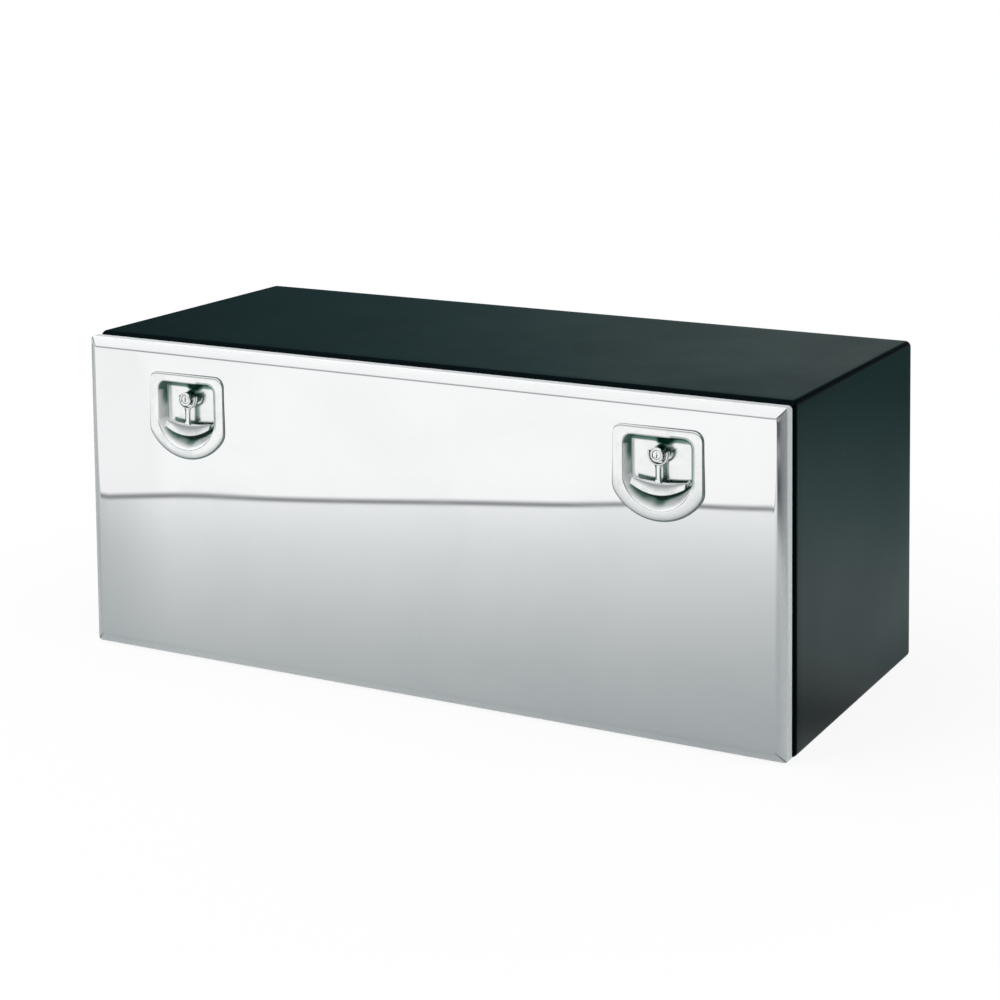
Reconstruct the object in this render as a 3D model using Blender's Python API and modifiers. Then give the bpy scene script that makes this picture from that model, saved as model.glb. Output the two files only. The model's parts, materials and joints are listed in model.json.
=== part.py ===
"""Underbody truck tool box with a drop-down door, two folding-handle locks and two slotted stays.

Metres, +Z up. The origin is the centre of the box's underside and the door faces -Y.
"""

import math

import bmesh
import bpy
from mathutils import Vector

# Box
BODY_WIDTH = 1.200
BODY_HEIGHT = 0.500
BODY_DEPTH = 0.468
SHEET = 0.002
BEND_RADIUS = 0.009
BEND_STEPS = 4
FRONT_FLANGE = 0.030
SILL_FLANGE = 0.042
REAR_FLANGE = 0.026

# Gaps between pieces that touch on the real box
SEAT_GAP = 0.0003
RUNNING_GAP = 0.0005
CUT_OVERRUN = 0.010
MERGE = 0.000001

# Back panel with its pressed ribs
BACK_SHEET = 0.0015
RIB_COUNT = 3
RIB_HEIGHT = 0.040
RIB_SLOPE = 0.008
RIB_DEPTH = 0.006
RIB_END_MARGIN = 0.090

# Hanging channels under the top sheet
CHANNEL_SIDE_MARGIN = 0.200
CHANNEL_CROWN = 0.050
CHANNEL_FOOT = 0.018
CHANNEL_DEEP = 0.018
CHANNEL_SHEET = 0.002
CHANNEL_END_MARGIN = 0.060

# Door skin: a folded stainless pan with a bevelled border
DOOR_SIDE_MARGIN = 0.0015
DOOR_TOP_MARGIN = 0.004
DOOR_BOTTOM_MARGIN = 0.002
DOOR_GAP = 0.0065
DOOR_RETURN = 0.0155
DOOR_BEVEL_WIDE = 0.015
DOOR_BEVEL_DEEP = 0.008
DOOR_LIP = 0.040
DOOR_SHEET = 0.0012
DOOR_FOLD_RADIUS = 0.002
DOOR_FOLD_STEPS = 2
DOOR_CORNER_RADIUS = 0.006
DOOR_INNER_CORNER = 0.0025
DOOR_CORNER_STEPS = 4

# Door inner panel and braces
PANEL_SHEET = 0.0012
PANEL_EDGE_MARGIN = 0.004
PANEL_CORNER_RADIUS = 0.008
BRACE_WIDTH_SHARE = 0.158333
BRACE_CROWN = 0.040
BRACE_FOOT = 0.016
BRACE_SHEET = 0.0012
BRACE_END_MARGIN = 0.030

# Door seal, a D-section bulb on the front flange
SEAL_WIDE = 0.012
SEAL_EDGE = 0.014
SEAL_SILL_EDGE = 0.028
SEAL_CORNER_RADIUS = 0.030
SEAL_CORNER_STEPS = 5
SEAL_SIDE_HEIGHT = 0.0025
SEAL_ROUND_STEPS = 4

# Piano hinge along the bottom edge
HINGE_END_MARGIN = 0.020
HINGE_Z = 0.0055
HINGE_PIN_RADIUS = 0.0015
HINGE_BORE_RADIUS = 0.0018
HINGE_KNUCKLE_RADIUS = 0.0028
HINGE_LEAF_SHEET = 0.0011
HINGE_LEAF_HEIGHT = 0.018
HINGE_KNUCKLES = 20
HINGE_KNUCKLE_GAP = 0.0008
HINGE_STEPS = 12

# Door stays: pivot and stud lie at one distance from the hinge
STAY_SIDE_MARGIN = 0.046
STAY_SHEET = 0.003
STAY_WIDE = 0.020
STAY_PIVOT_IN = 0.025
STAY_PIVOT_UP = 0.200
STAY_STUD_UP = 0.130
STAY_PIN_RADIUS = 0.004
STAY_HOLE_GAP = 0.0003
STAY_SLOT_SPARE = 0.003
STAY_END_STEPS = 8
STUD_SHANK_RADIUS = 0.007
STUD_BASE_RADIUS = 0.016
STUD_BASE_THICK = 0.003
STUD_HEAD_RADIUS = 0.008
STUD_HEAD_THICK = 0.0025
BRACKET_SHEET = 0.0025
BRACKET_FOOT = 0.026
BRACKET_HEIGHT = 0.036
BRACKET_NOSE_RADIUS = 0.011
RIVET_HEAD_RADIUS = 0.007
RIVET_HEAD_THICK = 0.002

# Locks: how far each hub sits from the door's side and top edges
LOCK_SIDE_MARGIN = 0.1925
LOCK_TOP_MARGIN = 0.0825

# Latch dish, a pressed D-shaped cup with a wide flange
DISH_HALF_WIDTH = 0.070
DISH_TOP = 0.0385
DISH_SHOULDER = 0.0535
DISH_BOTTOM = 0.0925
DISH_CORNER_RADIUS = 0.014
DISH_SHEET = 0.0014
DISH_MOUTH_HALF_WIDTH = 0.053
DISH_MOUTH_TOP = 0.0250
DISH_MOUTH_SHOULDER = 0.0400
DISH_MOUTH_BOTTOM = 0.0785
DISH_MOUTH_CORNER = 0.010
DISH_DRAFT = 0.004
DISH_TOE_SHARE = 2.0
DISH_DEEP = 0.0175
DISH_ROLL = 0.0025
DISH_ROLL_STEPS = 3
DISH_CORNER_STEPS = 5
DISH_ARC_STEPS = 12
DISH_EDGE_ROLL = 0.0008
DISH_APERTURE_GAP = 0.0012
DISH_HOLE_GAP = 0.0003
GASKET_THICK = 0.0010
GASKET_INSET = 0.0015

# Lock hub, fixed in the dish
HUB_RADIUS = 0.0105
HUB_PROUD = 0.0010
HUB_SHANK_RADIUS = 0.0088
HUB_BORE_RADIUS = 0.0067
HUB_CHAMFER = 0.0010
HUB_STEPS = 24
HUB_NUT_FLATS = 0.026
HUB_NUT_THICK = 0.0050
HUB_CAM_GAP = 0.0007

# Folding handle with its curved crossbar
HANDLE_THICK = 0.0070
HANDLE_RING_INNER = 0.0127
HANDLE_RING_OUTER = 0.0162
HANDLE_EAR_TOP = 0.0045
HANDLE_PIVOT_BACK = 0.0070
HANDLE_STEM_HALF = 0.0045
HANDLE_BAR_HALF = 0.0420
HANDLE_BAR_TOP = 0.0365
HANDLE_BAR_END = 0.0400
HANDLE_BAR_BOTTOM = 0.0575
HANDLE_BAR_SAG = 0.0030
HANDLE_ARC_STEPS = 12
HANDLE_EDGE_ROUND = 0.0010
HANDLE_PIN_RADIUS = 0.0022
HANDLE_PIN_DEPTH = 0.0030
HANDLE_PIN_GAP = 0.0003

# Key plug, spindle and cam
PLUG_RADIUS = 0.0063
PLUG_LENGTH = 0.0100
PLUG_RECESS = 0.0006
KEYWAY_WIDE = 0.0016
KEYWAY_HALF_HEIGHT = 0.0038
KEYWAY_DEEP = 0.0060
SPINDLE_SQUARE = 0.0084
SPINDLE_THREAD_RADIUS = 0.0038
CAM_FRONT = 0.0075
CAM_THICK = 0.0040
CAM_REACH = 0.0680
CAM_HUB_RADIUS = 0.0120
CAM_TIP_RADIUS = 0.0080
CAM_HOLE_GAP = 0.0003
WASHER_RADIUS = 0.0095
WASHER_THICK = 0.0015
NUT_FLATS = 0.0130
NUT_THICK = 0.0060
SPINDLE_SPARE = 0.0020

# Strikers behind the top flange
STRIKER_WIDE = 0.060
STRIKER_TALL = 0.016
STRIKER_THICK = 0.003
STRIKER_RAMP = 0.012
STRIKER_EDGE = 0.003

# Places worked out from the sizes above
FRONT_Y = -BODY_DEPTH / 2
BACK_Y = BODY_DEPTH / 2
HALF_WIDTH = BODY_WIDTH / 2
DOOR_HALF = HALF_WIDTH - DOOR_SIDE_MARGIN
DOOR_TOP = BODY_HEIGHT - DOOR_TOP_MARGIN
DOOR_BOTTOM = DOOR_BOTTOM_MARGIN
DOOR_REAR_Y = FRONT_Y - DOOR_GAP
DOOR_RIM_Y = DOOR_REAR_Y - DOOR_RETURN
DOOR_FACE_Y = DOOR_RIM_Y - DOOR_BEVEL_DEEP
LOCK_X = DOOR_HALF - LOCK_SIDE_MARGIN
LOCK_Z = DOOR_TOP - LOCK_TOP_MARGIN
CHANNEL_X = HALF_WIDTH - CHANNEL_SIDE_MARGIN
BRACE_X = BODY_WIDTH * BRACE_WIDTH_SHARE
HINGE_LENGTH = BODY_WIDTH - 2 * HINGE_END_MARGIN
STAY_PLANE_X = HALF_WIDTH - STAY_SIDE_MARGIN
LIP_FRONT_Y = DOOR_REAR_Y - DOOR_SHEET
PANEL_REAR_Y = LIP_FRONT_Y - SEAT_GAP
PANEL_FRONT_Y = PANEL_REAR_Y - PANEL_SHEET
HINGE_Y = FRONT_Y - DOOR_GAP / 2
DISH_FACE_Y = DOOR_FACE_Y - GASKET_THICK - 2 * SEAT_GAP - DISH_SHEET
DISH_FLOOR_Y = DISH_FACE_Y + DISH_DEEP
HUB_FACE_Y = DISH_FACE_Y - HUB_PROUD
PIVOT_Y = HUB_FACE_Y + HANDLE_PIVOT_BACK
CAM_FRONT_Y = FRONT_Y + CAM_FRONT
CAM_REAR_Y = CAM_FRONT_Y + CAM_THICK
WASHER_REAR_Y = CAM_REAR_Y + SEAT_GAP + WASHER_THICK
NUT_REAR_Y = WASHER_REAR_Y + SEAT_GAP + NUT_THICK
STAY_PIVOT = (HINGE_Y + STAY_PIVOT_IN, HINGE_Z + STAY_PIVOT_UP)
STAY_REACH = math.hypot(STAY_PIVOT_IN, STAY_PIVOT_UP)
STAY_STUD = (HINGE_Y + math.sqrt(STAY_REACH**2 - STAY_STUD_UP**2), HINGE_Z + STAY_STUD_UP)
SIDES = {"left": -1, "right": 1}
DOOR_NODES = (
    "door_skin",
    "door_inner",
    "door_brace",
    "hinge_door",
    "stay_bracket",
    "stay_rivet",
    "latch_",
    "lock_hub",
    "hub_nut",
)


# Helpers
def fresh_collections():
    for old in list(bpy.data.objects):
        bpy.data.objects.remove(old, do_unlink=True)
    made = []
    for name in ("underbody_tool_box", "cutters"):
        collection = bpy.data.collections.new(name)
        bpy.context.scene.collection.children.link(collection)
        made.append(collection)
    return made


PARTS, CUTTERS = fresh_collections()


def finish(name, colour, roughness, metallic):
    """A Principled material for one sub-part."""
    made = bpy.data.materials.new(name)
    made.use_nodes = True
    shader = made.node_tree.nodes["Principled BSDF"]
    shader.inputs["Base Color"].default_value = (*colour, 1)
    shader.inputs["Roughness"].default_value = roughness
    shader.inputs["Metallic"].default_value = metallic
    return made


def black_paint(name):
    return finish(name, (0.035, 0.05, 0.052), 0.45, 0)


def stainless(name):
    return finish(name, (0.72, 0.74, 0.75), 0.18, 1)


def zinc(name):
    return finish(name, (0.55, 0.55, 0.52), 0.35, 1)


def rubber(name):
    return finish(name, (0.015, 0.015, 0.016), 0.8, 0)


def add_object(name, bm, material):
    """A bmesh made into an object of the box."""
    mesh = bpy.data.meshes.new(name)
    bm.to_mesh(mesh)
    bm.free()
    made = bpy.data.objects.new(name, mesh)
    PARTS.objects.link(made)
    if material:
        mesh.materials.append(material)
    return made


def box(name, low, high):
    """A cube between two corners."""
    bm = bmesh.new()
    bmesh.ops.create_cube(bm, size=1)
    low, high = Vector(low), Vector(high)
    for vertex in bm.verts:
        for i in range(3):
            vertex.co[i] = (low[i] + high[i]) / 2 + vertex.co[i] * (high[i] - low[i])
    return add_object(name, bm, None)


def as_cutter(made):
    """Hides a shape that only cuts or joins."""
    PARTS.objects.unlink(made)
    CUTTERS.objects.link(made)
    made.hide_render = True
    made.display_type = "WIRE"
    return made


def combine(target, tool, operation):
    step = target.modifiers.new(operation.lower(), "BOOLEAN")
    step.operation = operation
    step.object = as_cutter(tool)


def cut(target, tool):
    combine(target, tool, "DIFFERENCE")


def join(target, tool):
    combine(target, tool, "UNION")


def solidify(made, thickness):
    """Gives an open surface its sheet, on the side away from its normals."""
    sheet = made.modifiers.new("sheet", "SOLIDIFY")
    sheet.thickness = thickness
    sheet.offset = -1
    sheet.use_even_offset = True


def soften(made, width, steps, degrees):
    edge = made.modifiers.new("edge", "BEVEL")
    edge.width = width
    edge.segments = steps
    edge.limit_method = "ANGLE"
    edge.angle_limit = math.radians(degrees)


def arc(centre, radius, first, last, steps):
    """Points of an arc, angles in degrees."""
    points = []
    for k in range(steps + 1):
        angle = math.radians(first + (last - first) * k / steps)
        points.append((centre[0] + radius * math.cos(angle), centre[1] + radius * math.sin(angle)))
    return points


def circle(centre, radius, steps):
    return arc(centre, radius, 0, 360, steps)[:-1]


def filleted(points, radius, steps):
    """A polyline with each inner corner rounded."""
    made = [Vector(points[0])]
    for before, corner, after in zip(points, points[1:], points[2:]):
        corner = Vector(corner)
        u = (Vector(before) - corner).normalized()
        v = (Vector(after) - corner).normalized()
        half = u.angle(v) / 2
        centre = corner + (u + v).normalized() * radius / math.sin(half)
        start = corner + u * radius / math.tan(half)
        end = corner + v * radius / math.tan(half)
        for k in range(steps + 1):
            spoke = (start - centre).normalized().slerp((end - centre).normalized(), k / steps)
            made.append(centre + spoke * radius)
    made.append(Vector(points[-1]))
    return [(p[0], p[1]) for p in made]


def rounded_rectangle(half_wide, low, high, radius, steps):
    """Points (x, z) anticlockwise as seen from the front."""
    x = half_wide - radius
    points = arc((x, low + radius), radius, -90, 0, steps)
    points += arc((x, high - radius), radius, 0, 90, steps)
    points += arc((-x, high - radius), radius, 90, 180, steps)
    points += arc((-x, low + radius), radius, 180, 270, steps)
    return points


def loft(name, rings, material, capped=False, closed=False):
    """Quads between rings of equal counts, the rings running towards the front."""
    bm = bmesh.new()
    levels = [[bm.verts.new(p) for p in ring] for ring in rings]
    pairs = list(zip(levels, levels[1:]))
    if closed:
        pairs.append((levels[-1], levels[0]))
    for rear, front in pairs:
        for k in range(len(rear)):
            n = (k + 1) % len(rear)
            bm.faces.new((rear[k], rear[n], front[n], front[k]))
    if capped:
        bm.faces.new(levels[-1])
    if closed:
        bmesh.ops.recalc_face_normals(bm, faces=bm.faces)
    return add_object(name, bm, material)


# Frames that stand a flat outline up: its own x and y, then the direction of its thickness
FACING = ((1, 0, 0), (0, 0, 1), (0, -1, 0))
SIDEWAYS = ((0, 1, 0), (0, 0, 1), (1, 0, 0))
UPRIGHT = ((1, 0, 0), (0, 1, 0), (0, 0, 1))


def plate(name, loops, frame, low, high, material=None):
    """A flat outline with holes, made thick between two places along its frame's third axis."""
    curve = bpy.data.curves.new(name, "CURVE")
    curve.dimensions = "2D"
    curve.fill_mode = "BOTH"
    curve.extrude = (high - low) / 2
    for loop in loops:
        spline = curve.splines.new("POLY")
        spline.points.add(len(loop) - 1)
        for point, place in zip(spline.points, loop):
            point.co = (place[0], place[1], 0, 1)
        spline.use_cyclic_u = True
    flat = bpy.data.objects.new(name + "_outline", curve)
    PARTS.objects.link(flat)
    bpy.context.view_layer.update()
    seen = flat.evaluated_get(bpy.context.evaluated_depsgraph_get())
    mesh = bpy.data.meshes.new_from_object(seen)
    bpy.data.objects.remove(flat, do_unlink=True)
    bpy.data.curves.remove(curve)
    bm = bmesh.new()
    bm.from_mesh(mesh)
    bpy.data.meshes.remove(mesh)
    middle = (low + high) / 2
    axes = [Vector(axis) for axis in frame]
    for vertex in bm.verts:
        a, b, c = vertex.co
        vertex.co = axes[0] * a + axes[1] * b + axes[2] * (c + middle)
    bmesh.ops.remove_doubles(bm, verts=bm.verts, dist=MERGE)
    bmesh.ops.recalc_face_normals(bm, faces=bm.faces)
    return add_object(name, bm, material)


def turned(name, profile, centre, direction, material=None, closed=False):
    """A profile of (radius, height) turned about an axis through centre, outer side top to bottom."""
    bm = bmesh.new()
    vertices = [bm.verts.new((radius, 0, height)) for radius, height in profile]
    for start, end in zip(vertices, vertices[1:]):
        bm.edges.new((start, end))
    if closed:
        bm.edges.new((vertices[-1], vertices[0]))
    made = add_object(name, bm, material)
    screw = made.modifiers.new("turn", "SCREW")
    screw.steps = HUB_STEPS
    screw.render_steps = HUB_STEPS
    screw.use_merge_vertices = True
    screw.merge_threshold = MERGE
    made.location = centre
    made.rotation_mode = "QUATERNION"
    made.rotation_quaternion = Vector(direction).to_track_quat("Z", "Y")
    return made


def rod(name, centre, direction, radius, length, material=None):
    """A plain round bar from centre along direction."""
    profile = [(0, length), (radius, length), (radius, 0), (0, 0)]
    return turned(name, profile, centre, direction, material)


def folded_section(points, thickness):
    """The closed outline of a folded sheet whose one face follows the points."""
    far = []
    for i, point in enumerate(points):
        here = Vector(point)
        before = (here - Vector(points[i - 1])).normalized() if i else None
        after = (Vector(points[i + 1]) - here).normalized() if i + 1 < len(points) else None
        tangent = ((before or after) + (after or before)).normalized()
        normal = Vector((-tangent.y, tangent.x))
        along = before or after
        stretch = normal.dot(Vector((-along.y, along.x)))
        far.append(tuple(here + normal * thickness / stretch))
    return list(points) + far[::-1]


# Cabinet
def body_wrap():
    """Top, sides and bottom from one sheet, folded in at the front and at the rear."""
    bm = bmesh.new()
    bmesh.ops.create_cube(bm, size=1)
    for vertex in bm.verts:
        vertex.co.x *= BODY_WIDTH
        vertex.co.y *= BODY_DEPTH
        vertex.co.z = vertex.co.z * BODY_HEIGHT + BODY_HEIGHT / 2
    for facing, flange in ((-1, FRONT_FLANGE), (1, REAR_FLANGE)):
        end = [face for face in bm.faces if face.normal.y * facing > abs(face.normal.x) + abs(face.normal.z)]
        bmesh.ops.inset_region(bm, faces=end, thickness=flange, use_even_offset=True)
        if facing < 0:
            for vertex in end[0].verts:
                if vertex.co.z < BODY_HEIGHT / 2:
                    vertex.co.z = SILL_FLANGE
        bmesh.ops.delete(bm, geom=end, context="FACES")
    wrap = add_object("body_wrap", bm, black_paint("body_wrap"))
    soften(wrap, BEND_RADIUS, BEND_STEPS, 60)
    solidify(wrap, SHEET)


def back_panel():
    """A sheet inside the rear flange, stiffened by long pressed ribs."""
    half = HALF_WIDTH - SHEET - BEND_RADIUS
    low, high = SHEET + BEND_RADIUS, BODY_HEIGHT - SHEET - BEND_RADIUS
    face_y = BACK_Y - SHEET - SEAT_GAP
    rib_half = half - RIB_END_MARGIN
    space = (high - low - RIB_COUNT * RIB_HEIGHT) / (RIB_COUNT + 1)
    levels = [low]
    for _ in range(RIB_COUNT):
        levels += [levels[-1] + space, levels[-1] + space + RIB_HEIGHT]
    levels.append(high)
    columns = (half, rib_half, -rib_half, -half)
    bm = bmesh.new()
    bmesh.ops.create_grid(bm, x_segments=len(columns) - 1, y_segments=len(levels) - 1, size=1)
    xs = sorted({round(v.co.x, 4) for v in bm.verts})
    ys = sorted({round(v.co.y, 4) for v in bm.verts})
    for vertex in bm.verts:
        column = xs.index(round(vertex.co.x, 4))
        row = ys.index(round(vertex.co.y, 4))
        vertex.co = (columns[column], face_y, levels[row])
    ribs = []
    for face in bm.faces:
        face.normal_update()
        middle = face.calc_center_median()
        row = sum(level < middle.z for level in levels)
        if abs(middle.x) < rib_half / 2 and row % 2 == 0:
            ribs.append(face)
    bmesh.ops.inset_individual(bm, faces=ribs, thickness=RIB_SLOPE, depth=-RIB_DEPTH)
    solidify(add_object("back_panel", bm, black_paint("back_panel")), BACK_SHEET)


def top_channels():
    """Hat channels under the top sheet, where the box is hung from a chassis."""
    top = BODY_HEIGHT - SHEET - SEAT_GAP
    low = top - CHANNEL_DEEP
    crown = CHANNEL_CROWN / 2
    foot = crown + CHANNEL_FOOT
    for name, side in SIDES.items():
        x = side * CHANNEL_X
        line = [(-foot, top), (-crown, top), (-crown, low), (crown, low), (crown, top), (foot, top)]
        section = [(x + a, b) for a, b in folded_section(line, -CHANNEL_SHEET)]
        start = FRONT_Y + CHANNEL_END_MARGIN
        end = BACK_Y - CHANNEL_END_MARGIN
        node = "top_channel_" + name
        plate(node, [section], FACING, -end, -start, black_paint(node))


def door_seal():
    """A D-section bulb that runs round the opening."""
    base = FRONT_Y - SEAT_GAP
    tall = DOOR_GAP - 2 * SEAT_GAP
    half = SEAL_WIDE / 2
    section = [(0, base), (0, base - SEAL_SIDE_HEIGHT)]
    for k in range(1, SEAL_ROUND_STEPS):
        angle = math.pi * k / SEAL_ROUND_STEPS
        rise = SEAL_SIDE_HEIGHT + (tall - SEAL_SIDE_HEIGHT) * math.sin(angle)
        section.append((half - half * math.cos(angle), base - rise))
    section += [(SEAL_WIDE, base - SEAL_SIDE_HEIGHT), (SEAL_WIDE, base)]
    rings = []
    for inset, y in section:
        ring = rounded_rectangle(
            HALF_WIDTH - SEAL_EDGE - inset,
            SEAL_SILL_EDGE + inset,
            BODY_HEIGHT - SEAL_EDGE - inset,
            SEAL_CORNER_RADIUS - inset,
            SEAL_CORNER_STEPS,
        )
        rings.append([(x, y, z) for x, z in ring])
    loft("door_seal", rings, rubber("door_seal"), closed=True)


def strikers():
    """Wear plates behind the top flange, each with a ramp where its cam comes in."""
    front = FRONT_Y + SHEET + SEAT_GAP
    rear = front + STRIKER_THICK
    half = STRIKER_WIDE / 2
    low = BODY_HEIGHT - FRONT_FLANGE + STRIKER_EDGE
    for name, side in SIDES.items():
        line = [(-half, front), (half, front), (half, rear), (-half + STRIKER_RAMP, rear)]
        outline = [(side * (LOCK_X + a), b) for a, b in line]
        node = "striker_" + name
        plate(node, [outline], UPRIGHT, low, low + STRIKER_TALL, zinc(node))


# Hinge
def hinge_leaf(name, facing, first):
    """One leaf with every second knuckle of its curl; facing is 1 on the cabinet, -1 on the door."""
    radius, sheet = HINGE_KNUCKLE_RADIUS, HINGE_LEAF_SHEET
    open_angle = math.degrees(math.acos((radius - sheet) / radius))
    curl = arc((0, 0), radius, 0, open_angle - 360, HINGE_STEPS)
    line = [(radius, HINGE_LEAF_HEIGHT)] + curl + [(radius - sheet, HINGE_LEAF_HEIGHT)]
    outline = [(HINGE_Y + facing * a, HINGE_Z + b) for a, b in line]
    bore = circle((HINGE_Y, HINGE_Z), HINGE_BORE_RADIUS, HINGE_STEPS)
    half = HINGE_LENGTH / 2
    leaf = plate(name, [outline, bore], SIDEWAYS, -half, half, stainless(name))
    pitch = HINGE_LENGTH / HINGE_KNUCKLES
    reach = radius + HINGE_KNUCKLE_GAP
    notches = bmesh.new()
    for k in range(first, HINGE_KNUCKLES, 2):
        start = -half + k * pitch - HINGE_KNUCKLE_GAP / 2
        end = start + pitch + HINGE_KNUCKLE_GAP
        made = bmesh.ops.create_cube(notches, size=1)["verts"]
        for vertex in made:
            vertex.co.x = (start + end) / 2 + vertex.co.x * (end - start)
            vertex.co.y = HINGE_Y + vertex.co.y * 2 * reach
            vertex.co.z = HINGE_Z + vertex.co.z * 2 * reach
    cut(leaf, add_object(name + "_notches", notches, None))


def hinge():
    hinge_leaf("hinge_body_leaf", 1, 1)
    hinge_leaf("hinge_door_leaf", -1, 0)
    start = (-HINGE_LENGTH / 2, HINGE_Y, HINGE_Z)
    rod("hinge_pin", start, (1, 0, 0), HINGE_PIN_RADIUS, HINGE_LENGTH, zinc("hinge_pin"))


# Door
def door_skin():
    """A pan folded from stainless sheet: lip, return, bevelled border and face."""
    line = [
        (DOOR_LIP, DOOR_REAR_Y),
        (0, DOOR_REAR_Y),
        (0, DOOR_RIM_Y),
        (DOOR_BEVEL_WIDE, DOOR_FACE_Y),
        (DOOR_BEVEL_WIDE + 2 * DOOR_FOLD_RADIUS, DOOR_FACE_Y),
    ]
    rings = []
    for inset, y in filleted(line, DOOR_FOLD_RADIUS, DOOR_FOLD_STEPS):
        ring = rounded_rectangle(
            DOOR_HALF - inset,
            DOOR_BOTTOM + inset,
            DOOR_TOP - inset,
            max(DOOR_CORNER_RADIUS - inset, DOOR_INNER_CORNER),
            DOOR_CORNER_STEPS,
        )
        rings.append([(x, y, z) for x, z in ring])
    skin = loft("door_skin", rings, stainless("door_skin"), capped=True)
    solidify(skin, DOOR_SHEET)
    for name, side in SIDES.items():
        aperture = dish_outline(mouth_sizes(-DISH_SHEET - DISH_APERTURE_GAP), side)
        node = "dish_aperture_" + name
        cut(skin, plate(node, [aperture], FACING, -DOOR_RIM_Y, -DOOR_FACE_Y + CUT_OVERRUN))


def door_inner_panel():
    """A flat painted sheet held behind the lip of the skin."""
    inset = DOOR_SHEET + PANEL_EDGE_MARGIN
    outline = rounded_rectangle(
        DOOR_HALF - inset,
        DOOR_BOTTOM + inset,
        DOOR_TOP - inset,
        PANEL_CORNER_RADIUS,
        DOOR_CORNER_STEPS,
    )
    loops = [outline]
    for side in SIDES.values():
        centre = (side * LOCK_X, LOCK_Z)
        loops.append(circle(centre, HUB_SHANK_RADIUS + DISH_HOLE_GAP, HUB_STEPS))
    material = black_paint("door_inner_panel")
    plate("door_inner_panel", loops, FACING, -PANEL_REAR_Y, -PANEL_FRONT_Y, material)


def door_braces():
    """Upright hat channels that keep the two door sheets apart."""
    back = DOOR_FACE_Y + DOOR_SHEET + SEAT_GAP
    crown_y = PANEL_FRONT_Y - SEAT_GAP - BRACE_SHEET
    crown = BRACE_CROWN / 2
    foot = crown + BRACE_FOOT
    low = DOOR_BOTTOM + DOOR_BEVEL_WIDE + BRACE_END_MARGIN
    high = DOOR_TOP - DOOR_BEVEL_WIDE - BRACE_END_MARGIN
    for name, side in SIDES.items():
        x = side * BRACE_X
        line = [(-foot, back), (-crown, back), (-crown, crown_y)]
        line += [(crown, crown_y), (crown, back), (foot, back)]
        section = [(x + a, b) for a, b in folded_section(line, BRACE_SHEET)]
        node = "door_brace_" + name
        plate(node, [section], UPRIGHT, low, high, zinc(node))


# Stays
def stay_stud(name, side):
    """A turned shoulder stud, welded to the side wall, that the stay's slot slides on."""
    wall = HALF_WIDTH - SHEET - SEAT_GAP
    shoulder = STAY_PLANE_X + STAY_SHEET / 2 + RUNNING_GAP
    head = STAY_PLANE_X - STAY_SHEET / 2 - RUNNING_GAP
    tip = head - STUD_HEAD_THICK
    profile = [
        (0, wall),
        (STUD_BASE_RADIUS, wall),
        (STUD_BASE_RADIUS, wall - STUD_BASE_THICK),
        (STUD_SHANK_RADIUS, wall - STUD_BASE_THICK),
        (STUD_SHANK_RADIUS, shoulder),
        (STAY_PIN_RADIUS, shoulder),
        (STAY_PIN_RADIUS, head),
        (STUD_HEAD_RADIUS, head),
        (STUD_HEAD_RADIUS, tip),
        (0, tip),
    ]
    node = "stay_stud_" + name
    turned(node, profile, (0, *STAY_STUD), (side, 0, 0), zinc(node))


def stay_bracket(name, side):
    """An angle on the door's inner panel that carries the stay's pivot rivet."""
    leg_far = STAY_PLANE_X - STAY_SHEET / 2 - RUNNING_GAP
    leg_near = leg_far - BRACKET_SHEET
    foot_near = leg_near - BRACKET_FOOT
    foot_y = PANEL_REAR_Y + SEAT_GAP
    y, z = STAY_PIVOT
    half = BRACKET_HEIGHT / 2
    nose = arc((y, z), BRACKET_NOSE_RADIUS, 80, -80, STAY_END_STEPS)
    outline = [(foot_y, z - half), (foot_y, z + half)] + nose
    hole = circle((y, z), STAY_PIN_RADIUS + STAY_HOLE_GAP, HUB_STEPS)
    node = "stay_bracket_" + name
    low, high = sorted((side * leg_near, side * leg_far))
    leg = plate(node, [outline, hole], SIDEWAYS, low, high, zinc(node))
    low, high = sorted((side * foot_near, side * leg_far))
    foot = box(
        node + "_foot",
        (low, foot_y, z - half),
        (high, foot_y + BRACKET_SHEET, z + half),
    )
    join(leg, foot)


def stay_rivet(name, side):
    """A shoulder rivet through the bracket and the stay."""
    leg_near = STAY_PLANE_X - STAY_SHEET / 2 - RUNNING_GAP - BRACKET_SHEET
    inner = leg_near - SEAT_GAP
    outer = STAY_PLANE_X + STAY_SHEET / 2 + RUNNING_GAP
    profile = [
        (0, outer + RIVET_HEAD_THICK),
        (RIVET_HEAD_RADIUS, outer + RIVET_HEAD_THICK),
        (RIVET_HEAD_RADIUS, outer),
        (STAY_PIN_RADIUS, outer),
        (STAY_PIN_RADIUS, inner),
        (RIVET_HEAD_RADIUS, inner),
        (RIVET_HEAD_RADIUS, inner - RIVET_HEAD_THICK),
        (0, inner - RIVET_HEAD_THICK),
    ]
    node = "stay_rivet_" + name
    turned(node, profile, (0, *STAY_PIVOT), (side, 0, 0), zinc(node))


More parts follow.
